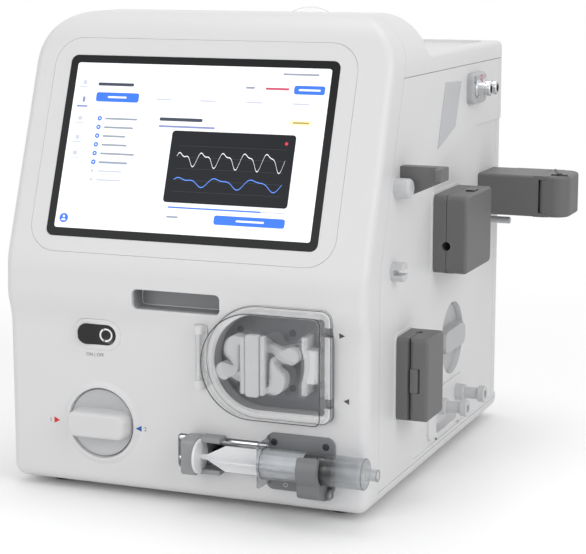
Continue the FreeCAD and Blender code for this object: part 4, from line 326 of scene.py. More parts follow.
# %% Loops to solids
RIGHT = 185.0
CORNER_STEPS = 6
WELD = 1e-7
SHARP_EDGE = radians(35)
CAP_REACH = 75
CAP_STEP = 15


def show(name, data):
    """Object of this data, linked to the scene."""
    thing = bpy.data.objects.new(name, data)
    bpy.context.scene.collection.objects.link(thing)
    return thing


def piece_of(name, shape, material, body, soften_mm=0.0, weld=True):
    """Object of a bmesh, with its finish, its body and, if asked, a small edge radius."""
    if weld:
        bmesh.ops.remove_doubles(shape, verts=shape.verts, dist=WELD)
    bmesh.ops.recalc_face_normals(shape, faces=shape.faces)
    mesh = bpy.data.meshes.new(name)
    shape.to_mesh(mesh)
    shape.free()
    mesh.materials.append(material)
    piece = show(name, mesh)
    if soften_mm:
        edge = piece.modifiers.new("edge radius", "BEVEL")
        edge.width = soften_mm / 1000
        edge.segments = 3
        edge.limit_method = "ANGLE"
        edge.angle_limit = SHARP_EDGE
    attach(piece, body)
    return piece


def join_loops(shape, loops, ring=False):
    """Faces between loops of equal length; the first and last are closed, or joined."""
    rows = [[shape.verts.new(point) for point in loop] for loop in loops]
    pairs = list(zip(rows, rows[1:])) + ([(rows[-1], rows[0])] if ring else [])
    for near, far in pairs:
        for k in range(len(near)):
            n = (k + 1) % len(near)
            shape.faces.new((near[k], near[n], far[n], far[k]))
    if not ring:
        shape.faces.new(list(reversed(rows[0])))
        shape.faces.new(rows[-1])


def slabs(name, parts, material, body, soften_mm=0.0, weld=True):
    """One piece of flat slabs: each part is an outline, its place function and two levels."""
    shape = bmesh.new()
    for outline, place, low, high in parts:
        join_loops(shape, [[place(u, v, out) for u, v in outline] for out in (low, high)])
    return piece_of(name, shape, material, body, soften_mm, weld)


def facing(x, z, out):
    """Place on the front, out from the plane of the housing's front."""
    return at(x, -out, z)


def sideways(y, z, out):
    """Place on the right side, out from the side."""
    return at(RIGHT + out, y, z)


def upward(x, y, z):
    """Place seen from above."""
    return at(x, y, z)


def arc(u, v, radius, start, end, count):
    """Points of an arc from one angle to another, in degrees."""
    angles = [radians(start + (end - start) * k / count) for k in range(count + 1)]
    return [(u + radius * cos(angle), v + radius * sin(angle)) for angle in angles]


def card(u0, u1, v0, v1, radius):
    """Points of a rectangle with round corners."""
    return (arc(u1 - radius, v0 + radius, radius, -90, 0, CORNER_STEPS)
            + arc(u1 - radius, v1 - radius, radius, 0, 90, CORNER_STEPS)
            + arc(u0 + radius, v1 - radius, radius, 90, 180, CORNER_STEPS)
            + arc(u0 + radius, v0 + radius, radius, 180, 270, CORNER_STEPS))


def disc(u, v, radius, count=28):
    """Points of a circle."""
    return arc(u, v, radius, 0, 360, count)[:-1]


def turned(shape, profile, place, count=48):
    """Solid of revolution: the profile is places along the axis with a radius at each."""
    join_loops(shape, [[place(along, u, v) for u, v in disc(0.0, 0.0, radius, count)]
                       for along, radius in profile])


def spline(four, t):
    """Place at a share of the way between the middle two of four points."""
    return tuple(0.5 * (2 * b + (c - a) * t + (2 * a - 5 * b + 4 * c - d) * t ** 2
                        + (3 * b - a - 3 * c + d) * t ** 3) for a, b, c, d in zip(*four))


def smooth(points, steps=5):
    """Closed outline through these points, with round stretches between them."""
    count = len(points)
    return [spline([points[(i + k) % count] for k in (-1, 0, 1, 2)], step / steps)
            for i in range(count) for step in range(steps)]


def band(spine, widths, steps=8):
    """Closed outline of a band with round ends that follows a smooth line."""
    line = []
    for i in range(len(spine) - 1):
        four = [spine[max(i - 1, 0)], spine[i], spine[i + 1], spine[min(i + 2, len(spine) - 1)]]
        for k in range(steps):
            share = k / steps
            line.append((*spline(four, share), widths[i] + (widths[i + 1] - widths[i]) * share))
    line.append((*spine[-1], widths[-1]))
    left = []
    right = []
    angles = []
    for i, (u, v, width) in enumerate(line):
        before = line[max(i - 1, 0)]
        after = line[min(i + 1, len(line) - 1)]
        angle = atan2(after[1] - before[1], after[0] - before[0])
        angles.append(angle)
        left.append((u - sin(angle) * width / 2, v + cos(angle) * width / 2))
        right.append((u + sin(angle) * width / 2, v - cos(angle) * width / 2))

    def cap(end, angle):
        u, v, width = end
        return [(u + width / 2 * cos(angle + radians(turn)),
                 v + width / 2 * sin(angle + radians(turn)))
                for turn in range(-CAP_REACH, CAP_REACH + CAP_STEP, CAP_STEP)]
    return (right + cap(line[-1], angles[-1]) + list(reversed(left))
            + cap(line[0], angles[0] + pi))


print("loop functions ready")

# %% [markdown]
# ## The display's picture
# A lit display is a flat picture under glass. Each button, bar and dot is its own thin plate
# a few hundredths of a millimetre above the glass, so it keeps a crisp edge at any size and
# needs no image file. The plates of one colour are one piece.

# %% Flat plates on the display
PLATE_STEP = 0.02
SCREEN_ROUGHNESS = 0.3
SCREEN_GLOSS = 0.08


def plates(name, outlines, place, low, high, material, body="housing"):
    """One piece of flat plates: each outline gets a face, a back and a rim."""
    parts = [(outline, place, low, high) for outline in outlines]
    slabs(name, parts, material, body, weld=False)


def cards(*sizes):
    """Rectangles with round corners: left, right, low, high and corner radius of each."""
    return [card(*size) for size in sizes]


def lit(name, colour, glow, other):
    """Colour that a display shows: matt, a little lit, with a soft change across it."""
    material, tree, shader = new_material("display, " + name)
    place = add(tree, "ShaderNodeTexCoord").outputs["Object"]
    cloud = add(tree, "ShaderNodeTexNoise", {"Vector": place, "Scale": 7.0, "Detail": 1.0})
    tint = add(tree, "ShaderNodeMix", {
        "Factor": cloud.outputs["Fac"], MIX_LOW: linear(colour), MIX_HIGH: linear(other)},
        data_type="RGBA")
    shown = tint.outputs[MIX_RESULT]
    connect(tree, shader, {
        "Base Color": shown, "Emission Color": shown, "Emission Strength": glow,
        "Roughness": SCREEN_ROUGHNESS, "Specular IOR Level": SCREEN_GLOSS})
    return material


ACTIVE_LEFT = -130.9
ACTIVE_RIGHT = 131.3
ACTIVE_LOW = 31.3
ACTIVE_HIGH = 194.3
GLOW = 0.32
level = [GLASS_PROUD + PLATE_STEP]


def layer(name, outlines, material):
    """Next layer of plates on the display, just above the last one."""
    low = level[0]
    level[0] = low + PLATE_STEP
    plates(name, outlines, on_screen, low, level[0], material)


screen_white = lit("white ground", "#FFFFFF", GLOW, "#F4F8FF")
layer("screen_ground", cards((ACTIVE_LEFT, ACTIVE_RIGHT, ACTIVE_LOW, ACTIVE_HIGH, 2.5)),
      screen_white)
layer("screen_tints", cards(
    (-128.5, -112.0, 149.0, 166.5, 3.0),
    (-103.5, -52.0, 91.8, 101.4, 4.0),
    (-40.0, 120.0, 33.0, 36.0, 1.4),
    (-118.0, -98.0, 185.4, 190.0, 2.2),
), lit("pale blue", "#E3ECFC", GLOW, "#EFF4FE"))
print("active area", round(ACTIVE_RIGHT - ACTIVE_LEFT, 1), "x",
      round(ACTIVE_HIGH - ACTIVE_LOW, 1))

# %% Buttons, bars and dots of the display
display_blue = lit("blue", "#3F76EC", GLOW, "#4A80F2")
layer("screen_buttons", cards(
    (-106.6, -61.0, 156.0, 165.2, 2.2),
    (96.4, 126.8, 169.2, 177.6, 2.2),
    (33.6, 104.4, 42.6, 51.4, 2.4),
    (-15.0, 79.5, 56.0, 57.4, 0.6),
) + [disc(-122.0, 40.6, 4.6)], display_blue)
CHECK_ROWS = 6
CHECK_TOP = 139.4
CHECK_PITCH = 8.6
DOT_LEFT = -99.3
LINE_LEFT = -93.5
LINE_LENGTHS = (34.0, 31.0, 24.0, 27.0, 36.0, 30.0)
rows = [CHECK_TOP - CHECK_PITCH * k for k in range(CHECK_ROWS + 2)]
bars = [card(LINE_LEFT, LINE_LEFT + length, row - 0.9, row + 0.9, 0.8)
        for row, length in zip(rows, LINE_LENGTHS)]
bars += cards((48.0, 57.0, 173.2, 175.2, 0.8), (83.5, 119.5, 187.2, 189.0, 0.8),
              (-15.0, -3.0, 46.6, 48.4, 0.8))
layer("screen_lines_grey", bars, lit("grey lines", "#9AA2B0", GLOW * 0.6, "#A6ADBA"))
pale = []
for row in rows[CHECK_ROWS:]:
    pale += [card(LINE_LEFT, LINE_LEFT + 26.0, row - 0.8, row + 0.8, 0.7),
             disc(DOT_LEFT, row, 1.6)]
pale += [card(u, u + 17.0, 159.2, 160.8, 0.7) for u in (-43.0, 2.5, 50.0, 96.5)]
for v in (169.5, 134.0, 115.0, 99.5):
    pale += cards((-125.5, -115.5, v, v + 1.2, 0.5), (-122.6, -118.2, v + 3.0, v + 7.4, 1.4))
pale += cards((80.0, 104.5, 56.2, 57.2, 0.4), (-102.0, -94.0, 147.0, 148.2, 0.5))
layer("screen_lines_pale", pale, lit("pale lines", "#C9CEDA", GLOW * 0.8, "#D2D7E1"))
layer("screen_titles", cards((-106.0, -68.0, 171.8, 174.8, 1.2), (-36.0, 8.5, 139.4, 142.6, 1.3)),
      lit("dark titles", "#4C5260", GLOW * 0.3, "#565C69"))
layer("screen_subtitle", cards((-36.0, 22.0, 133.2, 135.0, 0.7),
                               (-120.5, -118.0, 155.0, 160.5, 1.2),
                               (-126.0, -114.5, 150.2, 151.8, 0.6)),
      lit("blue-grey lines", "#8A93C8", GLOW * 0.6, "#949DCF"))
layer("screen_tag_yellow", cards((95.5, 119.0, 139.2, 145.0, 2.2)),
      lit("pale yellow", "#FBF3CF", GLOW, "#FAF0C4"))
layer("screen_tag_words", cards((99.0, 115.5, 141.3, 142.9, 0.7)),
      lit("ochre", "#BFA24A", GLOW * 0.5, "#C7AC58"))
layer("screen_words_red", cards((68.0, 91.5, 172.8, 174.8, 0.8)),
      lit("red words", "#D2506A", GLOW * 0.5, "#D85E76"))
layer("screen_words_white", cards(
    (-94.0, -74.0, 159.7, 161.5, 0.8),
    (101.0, 122.5, 172.5, 174.3, 0.8),
    (56.0, 84.0, 46.1, 47.9, 0.8),
    (-124.2, -119.8, 38.0, 39.8, 0.8),
) + [disc(-122.0, 42.2, 1.3)], lit("white words", "#F2F6FF", GLOW, "#FFFFFF"))
print("layers on the display:", round((level[0] - GLASS_PROUD) / PLATE_STEP))

# %% [markdown]
# ## The check list
# The list on the left repeats one dot with a small white middle at an even pitch. Geometry
# Nodes make such a row: a line of points, a dot on each point, copies made real, a finish.

# %% Check dots by Geometry Nodes
DOT_RADIUS = 0.0023
MARK_RADIUS = 0.0008
DOT_THICKNESS = 0.00002
DOT_SIDES = 24


def node_group(name, inputs):
    """Empty geometry tree with named number inputs and one geometry output."""
    tree = bpy.data.node_groups.new(name, "GeometryNodeTree")
    for label, value in inputs.items():
        kind = "NodeSocketInt" if isinstance(value, int) else "NodeSocketFloat"
        socket = tree.interface.new_socket(label, in_out="INPUT", socket_type=kind)
        socket.default_value = value
    tree.interface.new_socket("Geometry", in_out="OUTPUT", socket_type="NodeSocketGeometry")
    return tree, add(tree, "NodeGroupInput"), add(tree, "NodeGroupOutput")


def evaluated(holder):
    """Mesh of what an object looks like with its modifiers or its letters."""
    graph = bpy.context.evaluated_depsgraph_get()
    return bpy.data.meshes.new_from_object(holder.evaluated_get(graph))


def grown(name, tree, values, turn, body):
    """Plain mesh of what a geometry tree makes, put in place by a matrix."""
    holder = show(name, bpy.data.meshes.new(name))
    modifier = holder.modifiers.new(name, "NODES")
    modifier.node_group = tree
    for item in tree.interface.items_tree:
        if item.item_type == "SOCKET" and item.in_out == "INPUT" and item.name in values:
            modifier[item.identifier] = values[item.name]
    mesh = evaluated(holder)
    holder.modifiers.clear()
    old = holder.data
    holder.data = mesh
    bpy.data.meshes.remove(old)
    mesh.name = name
    mesh.transform(turn)
    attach(holder, body)
    print(name, "faces:", len(mesh.polygons))


def row_tree(name, material):
    """Discs in a row: count, pitch, radius and thickness are inputs."""
    tree, given, result = node_group(name, {
        "Count": CHECK_ROWS, "Pitch": CHECK_PITCH / 1000, "Radius": DOT_RADIUS,
        "Thickness": DOT_THICKNESS})
    line = add(tree, "GeometryNodeMeshLine", {"Count": given.outputs["Count"]})
    step = add(tree, "ShaderNodeCombineXYZ", {"Y": given.outputs["Pitch"]})
    down = add(tree, "ShaderNodeVectorMath", {0: step.outputs[0], 1: (-1.0, -1.0, -1.0)},
               operation="MULTIPLY")
    tree.links.new(down.outputs[0], line.inputs["Offset"])
    dot = add(tree, "GeometryNodeMeshCylinder", {
        "Vertices": DOT_SIDES, "Radius": given.outputs["Radius"],
        "Depth": given.outputs["Thickness"]})
    copies = add(tree, "GeometryNodeInstanceOnPoints", {
        "Points": line.outputs["Mesh"], "Instance": dot.outputs["Mesh"]})
    real = add(tree, "GeometryNodeRealizeInstances", {"Geometry": copies.outputs["Instances"]})
    finish = add(tree, "GeometryNodeSetMaterial", {"Geometry": real.outputs["Geometry"]})
    finish.inputs["Material"].default_value = material
    tree.links.new(finish.outputs["Geometry"], result.inputs["Geometry"])
    return tree


def screen_turn(across, up, out):
    """Matrix that lays a shape from the XY plane on the display, in metres."""
    foot = on_screen(across, up, out)
    right = Vector((1, 0, 0))
    high = Vector((0, sin(SCREEN_LEAN), cos(SCREEN_LEAN)))
    outward = right.cross(high)
    return Matrix.Translation(foot) @ Matrix((right, high, outward)).transposed().to_4x4()


for name, finish, radius, out in (("screen_check_dots", display_blue, DOT_RADIUS, 0.01),
                                  ("screen_check_marks", screen_white, MARK_RADIUS, 0.04)):
    grown(name, row_tree("row for " + name, finish), {"Radius": radius},
          screen_turn(DOT_LEFT, CHECK_TOP, level[0] + out), "housing")

# %% [markdown]
# ## The dark chart
# The large dark panel shows two smooth curves over a fine grid, as a monitor draws pressure
# and flow. Each curve is one thin strip that follows a formula.

# %% Chart on the display
CHART_LEFT = -20.6
CHART_RIGHT = 104.8
CHART_LOW = 61.3
CHART_HIGH = 130.4
CHART_MARGIN = 8.0
GRID_LINES = (72.0, 83.0, 94.0, 105.0, 116.0)
WAVE_STEPS = 90
WAVE_WIDTH = 0.9
FIRST_SWELL = 0.6
SECOND_WAVE = 0.35
SECOND_SHIFT = 0.8
DIM_GLOW = 0.05
CURVE_GLOW = 0.4
layer("screen_chart", cards((CHART_LEFT, CHART_RIGHT, CHART_LOW, CHART_HIGH, 3.2)),
      lit("chart ground", "#26282B", DIM_GLOW, "#2D2F33"))
grid = [card(CHART_LEFT + CHART_MARGIN, CHART_RIGHT - CHART_MARGIN, v, v + 0.25, 0.1)
        for v in GRID_LINES]
layer("screen_grid", grid, lit("grid grey", "#4A4D52", DIM_GLOW, "#505358"))


def wave(base, height, turns):
    """Closed strip that follows a smooth curve from the left of the chart to the right."""
    left = CHART_LEFT + CHART_MARGIN
    span = CHART_RIGHT - CHART_LEFT - 2 * CHART_MARGIN
    line = []
    for k in range(WAVE_STEPS + 1):
        share = k / WAVE_STEPS
        v = base + height * sin(2 * pi * turns * share) * (
            FIRST_SWELL + (1 - FIRST_SWELL) * share)
        v += SECOND_WAVE * height * sin(2 * pi * turns * 2 * share + SECOND_SHIFT)
        line.append((left + span * share, v))
    return ([(u, v - WAVE_WIDTH / 2) for u, v in line]
            + [(u, v + WAVE_WIDTH / 2) for u, v in reversed(line)])


layer("screen_wave_white", [wave(104.0, 8.0, 5)],
      lit("white curve", "#E8ECF2", CURVE_GLOW, "#F4F6FA"))
layer("screen_wave_blue", [wave(82.0, 5.0, 3)],
      lit("blue curve", "#5B8CF5", CURVE_GLOW, "#6A97F7"))
layer("screen_wave_red", [disc(96.0, 122.0, 1.6)],
      lit("red dot", "#D63A4C", CURVE_GLOW, "#DE4A5B"))
print("chart", round(CHART_RIGHT - CHART_LEFT, 1), "x", round(CHART_HIGH - CHART_LOW, 1))

# %% [markdown]
# ## Printed marks on the housing
# Marks are ink a hair above the shell. The nose of the shell curves, so each mark is dropped
# on the solid from outside: a ray finds the surface.

# %% Marks that follow the surface
INK = 0.04
FAR_OUT = 120.0


def surface_of(*names):
    """Search tree over the faces of these solids."""
    corners = []
    faces = []
    for name in names:
        mesh = nodes[name].data
        start = len(corners)
        corners += [v.co.copy() for v in mesh.vertices]
        faces += [[start + i for i in p.vertices] for p in mesh.polygons]
    return BVHTree.FromPolygons(corners, faces)


def drop_on(names, side_place, inward):
    """Place function that drops a place on one side onto these solids, then steps out."""
    tree = surface_of(*names)

    def place(u, v, out):
        hit = tree.ray_cast(side_place(u, v, FAR_OUT), inward)[0]
        return hit - inward * (out / 1000)
    return place


def ink(name, colour):
    """Screen ink: flat, matt, slightly uneven."""
    return moulded("screen ink, " + name, colour, 0.55, 0.3, 0.004, 0.04)


def triangle(x, z, size, side):
    """Points of a triangle that points to the right (side 1) or the left (side -1)."""
    half = size / 2
    return [(x - side * half, z - half), (x + side * half, z), (x - side * half, z + half)]


BACKWARD = Vector((0, 1, 0))
front = drop_on(["front_shell"], facing, BACKWARD)
ink_grey = ink("dark grey", "#4A4B4D")
plates("knob_mark_red", [triangle(-134.2, 68.7, 6.4, 1)], front, 0.0, INK,
       ink("red", "#D8262B"))
plates("knob_mark_blue", [triangle(-46.0, 68.6, 5.6, -1)], front, 0.0, INK,
       ink("blue", "#1F5FA8"))
plates("pump_arrows", [triangle(160.7, 175.6, 5.6, 1), triangle(164.0, 114.6, 5.6, -1)], front,
       0.0, INK, ink_grey)


def ring_strips(x, z, outer, inner, count=40):
    """Quads of a ring, so that its middle stays open."""
    far = disc(x, z, outer, count)
    near = disc(x, z, inner, count)
    return [[far[k - 1], far[k], near[k], near[k - 1]] for k in range(count)]


rocker = drop_on(["power_rocker"], facing, BACKWARD)
plates("rocker_ring", ring_strips(-79.3, 157.0, 6.6, 4.9), rocker, 0.0, INK,
       ink("white", "#F4F4F4"), body="power_rocker")
plate_front = drop_on(["syringe_plate"], facing, BACKWARD)
plates("plate_ring", ring_strips(105.7, 30.5, 2.2, 1.5), plate_front, 0.0, INK,
       ink("pale", "#C9CACC"))
print("marks placed")

# %% [markdown]
# ## Plain words and numbers
# The switch has the usual words for its two ends and the knob a number at each stop. Text is
# made a mesh first and only then laid on the face.

# %% Lettering
CAPITAL_SHARE = 0.7


def words(name, text, height, centre, material, body="housing"):
    """Flat upright text on the front as a mesh, its middle at a place."""
    curve = bpy.data.curves.new(name, "FONT")
    curve.body = text
    curve.size = height / 1000 / CAPITAL_SHARE
    curve.align_x = "CENTER"
    curve.align_y = "CENTER"
    curve.extrude = INK / 2000
    holder = show(name, curve)
    mesh = evaluated(holder)
    bpy.data.objects.remove(holder)
    mesh.transform(Matrix.Translation(centre) @ Matrix.Rotation(radians(90), 4, "X"))
    mesh.materials.clear()
    mesh.materials.append(material)
    piece = show(name, mesh)
    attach(piece, body)


words("switch_words", "ON | OFF", 3.2, front(-91.5, 137.0, INK), ink_grey)
words("knob_number_1", "1", 4.0, front(-141.2, 68.4, INK), ink_grey)
words("knob_number_2", "2", 4.0, front(-39.4, 68.4, INK), ink_grey)
print("words placed")

# %% [markdown]
# ## Pump rotor
# The rotor is one moulding: two arms that curve from the hub to the rollers, and two hooks
# that guide the tube, all the same after half a turn. An arm is a band along a short curve, a
# hook is a smooth closed outline, and a copy turned by half a turn makes each pair.

# %% Rotor with arms and hooks
PUMP_X = 81.5
PUMP_Z = 145.5
ARM = [(84.0, 157.0), (91.0, 161.0), (99.0, 159.8), (106.5, 154.8), (114.3, 154.9)]
ARM_WIDTHS = [12.0, 8.0, 7.6, 11.0, 16.8]
HOOK = [(88.0, 120.5), (95.0, 120.6), (102.1, 119.5), (108.3, 123.3), (111.1, 131.2),
        (110.0, 138.0), (104.9, 142.6), (101.6, 147.1), (100.4, 151.6), (98.6, 153.4),
        (96.9, 149.3), (96.6, 139.0), (96.4, 129.0), (94.0, 126.0), (88.0, 126.5)]
CORE = [(81.5, 134.0), (81.5, 157.0)]
CORE_WIDTH = 19.0
ROLLER_PLACE = (114.6, 155.0)
BACK_WIDTH = 16.0
ROTOR_BACK = 5.5
ROTOR_FRONT = 12.5
HOOK_FRONT = 19.5
GRIP_BACK = 19.0
GRIP_FRONT = 26.0
GRIP_STEP = 0.8


def half_turn(outline):
    """The same outline after half a turn about the rotor's axis."""
    return [(2 * PUMP_X - u, 2 * PUMP_Z - v) for u, v in outline]


arm = band(ARM, ARM_WIDTHS)
hook = smooth(HOOK)
back_bar = band(half_turn([ROLLER_PLACE]) + [ROLLER_PLACE], [BACK_WIDTH] * 2)
parts = [(band(CORE, [CORE_WIDTH] * 2), facing, -8.0, HOOK_FRONT),
         (back_bar, facing, -9.9, -8.1)]
for outline in (arm, half_turn(arm)):
    parts.append((outline, facing, ROTOR_BACK, ROTOR_FRONT))
for outline in (hook, half_turn(hook)):
    parts.append((outline, facing, ROTOR_BACK, HOOK_FRONT))
rotor = slabs("rotor_moulding", parts, rotor_acetal, "pump_rotor", 0.7)
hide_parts("pump_rotor")
side_front = GRIP_FRONT - GRIP_STEP
bars = [(card(75.0, 88.6, 117.0, 174.7, 3.0), facing, GRIP_BACK, GRIP_FRONT),
        (card(69.8, 74.4, 119.0, 172.0, 2.0), facing, GRIP_BACK, side_front),
        (card(89.2, 94.0, 119.0, 174.0, 2.0), facing, GRIP_BACK, side_front)]
grip = slabs("rotor_grip_bars", bars, rotor_acetal, "pump_rotor", 0.8)
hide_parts("rotor_grip")
print("rotor faces:", len(rotor.data.polygons))

# %% [markdown]
# ## Edges of the clear cover
# Clear plastic looks dark along its edges, because light is bent away there. That dark is
# painted:
# a thin dark bead lies along the front edge of the cover and along the rim that meets the
# housing, and dark hoops lie at the ends of the syringe barrel.

# %% Painted edge shade of the cover
COVER_FRONT_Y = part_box("pump_cover")[0][1] * 1000 - FRONT_FACE_Y
FRONT_RIM = (49.2, 148.7, 5.6)
BACK_RIM = (52.4, 151.9, 8.9)
BACK_RIM_Y = -8.6
ARC_STEPS = 10
BEAD_TURNS = [radians(45 * n) for n in range(8)]


def pump_outline(reach, edge, corner):
    """Points of the pump's outline: half round on the left, square on the right."""
    return (arc(PUMP_X, PUMP_Z, reach, 90, 270, 3 * ARC_STEPS)
            + arc(edge - corner, PUMP_Z - reach + corner, corner, 270, 360, ARC_STEPS)
            + arc(edge - corner, PUMP_Z + reach - corner, corner, 0, 90, ARC_STEPS))


def bead(shape, points, y, radius):
    """Round bead along a closed outline on the front."""
    loops = []
    for k in range(len(points)):
        u, v = points[k]
        before = points[k - 1]
        after = points[(k + 1) % len(points)]
        angle = atan2(after[1] - before[1], after[0] - before[0])
        loops.append([at(u - sin(angle) * radius * cos(a), y + radius * sin(a),
                         v + cos(angle) * radius * cos(a)) for a in BEAD_TURNS])
    join_loops(shape, loops, ring=True)


shape = bmesh.new()
bead(shape, pump_outline(*FRONT_RIM), COVER_FRONT_Y + 0.8, 0.5)
bead(shape, pump_outline(*BACK_RIM), BACK_RIM_Y, 0.36)
# Dark beads: painted edge shade of the clear cover, not a part of it.
painted_edge_shade = moulded("painted dark edge of clear plastic", "#3F4144", 0.15, 0.6, 0.003)
piece_of("cover_painted_edge_shade", shape, painted_edge_shade, "pump_cover")
print("cover front at", round(COVER_FRONT_Y, 2))

# %% [markdown]
# ## Syringe
# The barrel is a thin clear tube with a flat end and a short collar for the tip. The plunger
# is a cross of two thin ribs that narrow towards the thumb disc, and the driver holds that
# disc from behind with two claws.

# %% Barrel, plunger and driver
BARREL_Y = -18.0
BARREL_Z = 53.7
BARREL_RADIUS = 14.6
BARREL_WALL = 1.1
BARREL_START = 88.5
BARREL_END = 189.6
TIP_END = 201.2
TIP_RADIUS = 5.7
TIP_WALL = 1.2
TIP_BORE = 8.0
FLANGE_HALF = 21.0
FLANGE_THICK = 2.2
HOOP_STEPS = 40
HOOP_TURNS = [radians(60 * n) for n in range(6)]


def along_barrel(along, u, v):
    """Place on the barrel's axis, and off it along Y and Z."""
    return at(along, BARREL_Y + u, BARREL_Z + v)


inner = BARREL_RADIUS - BARREL_WALL
shape = bmesh.new()
turned(shape, [(BARREL_END - 1.4, inner), (BARREL_START, inner), (BARREL_START, BARREL_RADIUS),
               (BARREL_END - 0.6, BARREL_RADIUS), (BARREL_END, BARREL_RADIUS - 0.6),
               (BARREL_END, TIP_RADIUS), (TIP_END, TIP_RADIUS), (TIP_END, TIP_RADIUS - TIP_WALL),
               (TIP_END - TIP_BORE, TIP_RADIUS - TIP_WALL)], along_barrel)
flange = card(-31.5, -4.0, BARREL_Z - FLANGE_HALF, BARREL_Z + FLANGE_HALF, 3.0)
join_loops(shape, [[at(x, u, v) for u, v in flange]
                   for x in (BARREL_START, BARREL_START + FLANGE_THICK)])
barrel = piece_of("barrel_moulding", shape, clear_pp, "housing")
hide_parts("syringe_barrel")


def hoop(shape, x, radius, thick):
    """Thin round bead about the barrel's axis."""
    loops = []
    for k in range(HOOP_STEPS):
        turn = 2 * pi * k / HOOP_STEPS
        loop = []
        for a in HOOP_TURNS:
            reach = radius + thick * sin(a)
            loop.append(along_barrel(x + thick * cos(a), reach * cos(turn),
                                     reach * sin(turn)))
        loops.append(loop)
    join_loops(shape, loops, ring=True)


# Dark hoops at the barrel's ends and flange: painted edge shade, as on the cover.
shape = bmesh.new()
hoop(shape, BARREL_END - 0.4, BARREL_RADIUS - 0.45, 0.3)
hoop(shape, TIP_END - 0.2, TIP_RADIUS - 0.35, 0.25)
hoop(shape, BARREL_START + 2.6, BARREL_RADIUS - 0.1, 0.3)
piece_of("barrel_painted_edge_shade", shape, painted_edge_shade, "housing")

RIB_HALF = 12.3
RIB_TAIL = 2.5
RIB_SIDE = 0.8
THUMB_START = 24.2
THUMB_RADIUS = 16.4
TAPER_START = 33.5
TAPER_END = 52.0
STOPPER_START = 132.0
rib = [(THUMB_START + 1.0, -RIB_TAIL), (TAPER_START, -RIB_TAIL), (TAPER_END, -RIB_HALF),
       (STOPPER_START, -RIB_HALF), (STOPPER_START, RIB_HALF), (TAPER_END, RIB_HALF),
       (TAPER_START, RIB_TAIL), (THUMB_START + 1.0, RIB_TAIL)]
shape = bmesh.new()
sides = (-RIB_SIDE, RIB_SIDE)
join_loops(shape, [[along_barrel(u, side, v) for u, v in rib] for side in sides])
join_loops(shape, [[along_barrel(u, v, side) for u, v in rib] for side in sides])
turned(shape, [(THUMB_START, THUMB_RADIUS - 0.6), (THUMB_START + 0.6, THUMB_RADIUS),
               (THUMB_START + 2.0, THUMB_RADIUS), (THUMB_START + 2.6, THUMB_RADIUS - 0.6)],
       along_barrel)
turned(shape, [(STOPPER_START - 2.0, RIB_HALF), (STOPPER_START, RIB_HALF)], along_barrel)
plunger = piece_of("plunger_moulding", shape, plunger_pp, "syringe_carriage")
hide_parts("syringe_plunger")


def end_on(y, z, x):
    """Place seen along X."""
    return at(x, y, z)


CLAW_TOP = BARREL_Z + THUMB_RADIUS + 1.2
CLAW_LOW = BARREL_Z - THUMB_RADIUS - 1.2
CLAW_INSIDE = 12.8
CLAW_END = 45.0
driver_parts = [
    (card(-27.0, -0.6, CLAW_LOW, CLAW_TOP, 5.0), end_on, 10.0, THUMB_START),
    (card(-16.5, -0.6, BARREL_Z + CLAW_INSIDE, CLAW_TOP, 1.0), end_on, THUMB_START, CLAW_END),
    (card(-16.5, -0.6, CLAW_LOW, BARREL_Z - CLAW_INSIDE, 1.0), end_on, THUMB_START, CLAW_END),
    (card(-1.0, 13.0, 36.0, 67.5, 1.0), end_on, 10.5, THUMB_START - 0.5),
    (card(12.0, 31.0, 50.0, 57.4, 1.0), end_on, 11.0, THUMB_START - 1.0),
]
driver = slabs("driver_moulding", driver_parts, driver_abs, "syringe_carriage", 0.8)
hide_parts("plunger_driver")
print("syringe pieces ready")

# %% [markdown]
# ## Knob, grip recess and holder top
# The knob is a dished disc with a bar across it; the disc is a darker grey than the bar, which is
# painted shade of the dish. A thin darker grey sheet inside the recess under the display is
# painted shade, where the recess's own shadow falls. The bottle holder is closed on top by a thin
# roof, with a flat T-shaped catch on it.

# %% Knob, painted recess shade and roof
KNOB_X = -85.9
KNOB_Z = 70.4
KNOB_RADIUS = 32.6
KNOB_DISH = 4.2
DISH_STEPS = 10
BAR_HALF_LENGTH = 31.5
BAR_HALF_WIDTH = 13.2
BAR_STEPS = ((-4.0, 0.0), (11.5, 0.8), (13.6, 1.5), (14.6, 2.6), (15.0, 4.2))


def along_knob(along, u, v):
    """Place on the knob's axis, and off it across and up."""
    return at(KNOB_X + u, along, KNOB_Z + v)


shape = bmesh.new()
dish = [(4.6, 0.2), (4.6, KNOB_RADIUS), (0.6, KNOB_RADIUS), (0.2, KNOB_RADIUS - 0.5)]
for k in range(1, DISH_STEPS):
    turn = pi / 2 * k / DISH_STEPS
    dish.append((KNOB_DISH * sin(turn), (KNOB_RADIUS - 0.8) * cos(turn)))
dish.append((KNOB_DISH, 0.2))
turned(shape, dish, along_knob, 72)
# The disc is a darker grey than the bar, although both are one moulding: painted shade of the
# dish around the bar.
knob = piece_of("knob_disc", shape, moulded("moulded ABS, knob disc with painted dish shade", "#C6C7C9", 0.42),
                "front_knob")
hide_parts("front_knob")
shape = bmesh.new()
foot = card(-BAR_HALF_LENGTH, BAR_HALF_LENGTH, -BAR_HALF_WIDTH, BAR_HALF_WIDTH, 9.0)
join_loops(shape, [[facing(KNOB_X + u * (1 - inset / BAR_HALF_LENGTH),
                           KNOB_Z + v * (1 - inset / BAR_HALF_WIDTH), out) for u, v in foot]
                   for out, inset in BAR_STEPS])
piece_of("knob_bar", shape, moulded("moulded ABS, knob bar off-white", "#DEDEDF", 0.38),
         "front_knob")

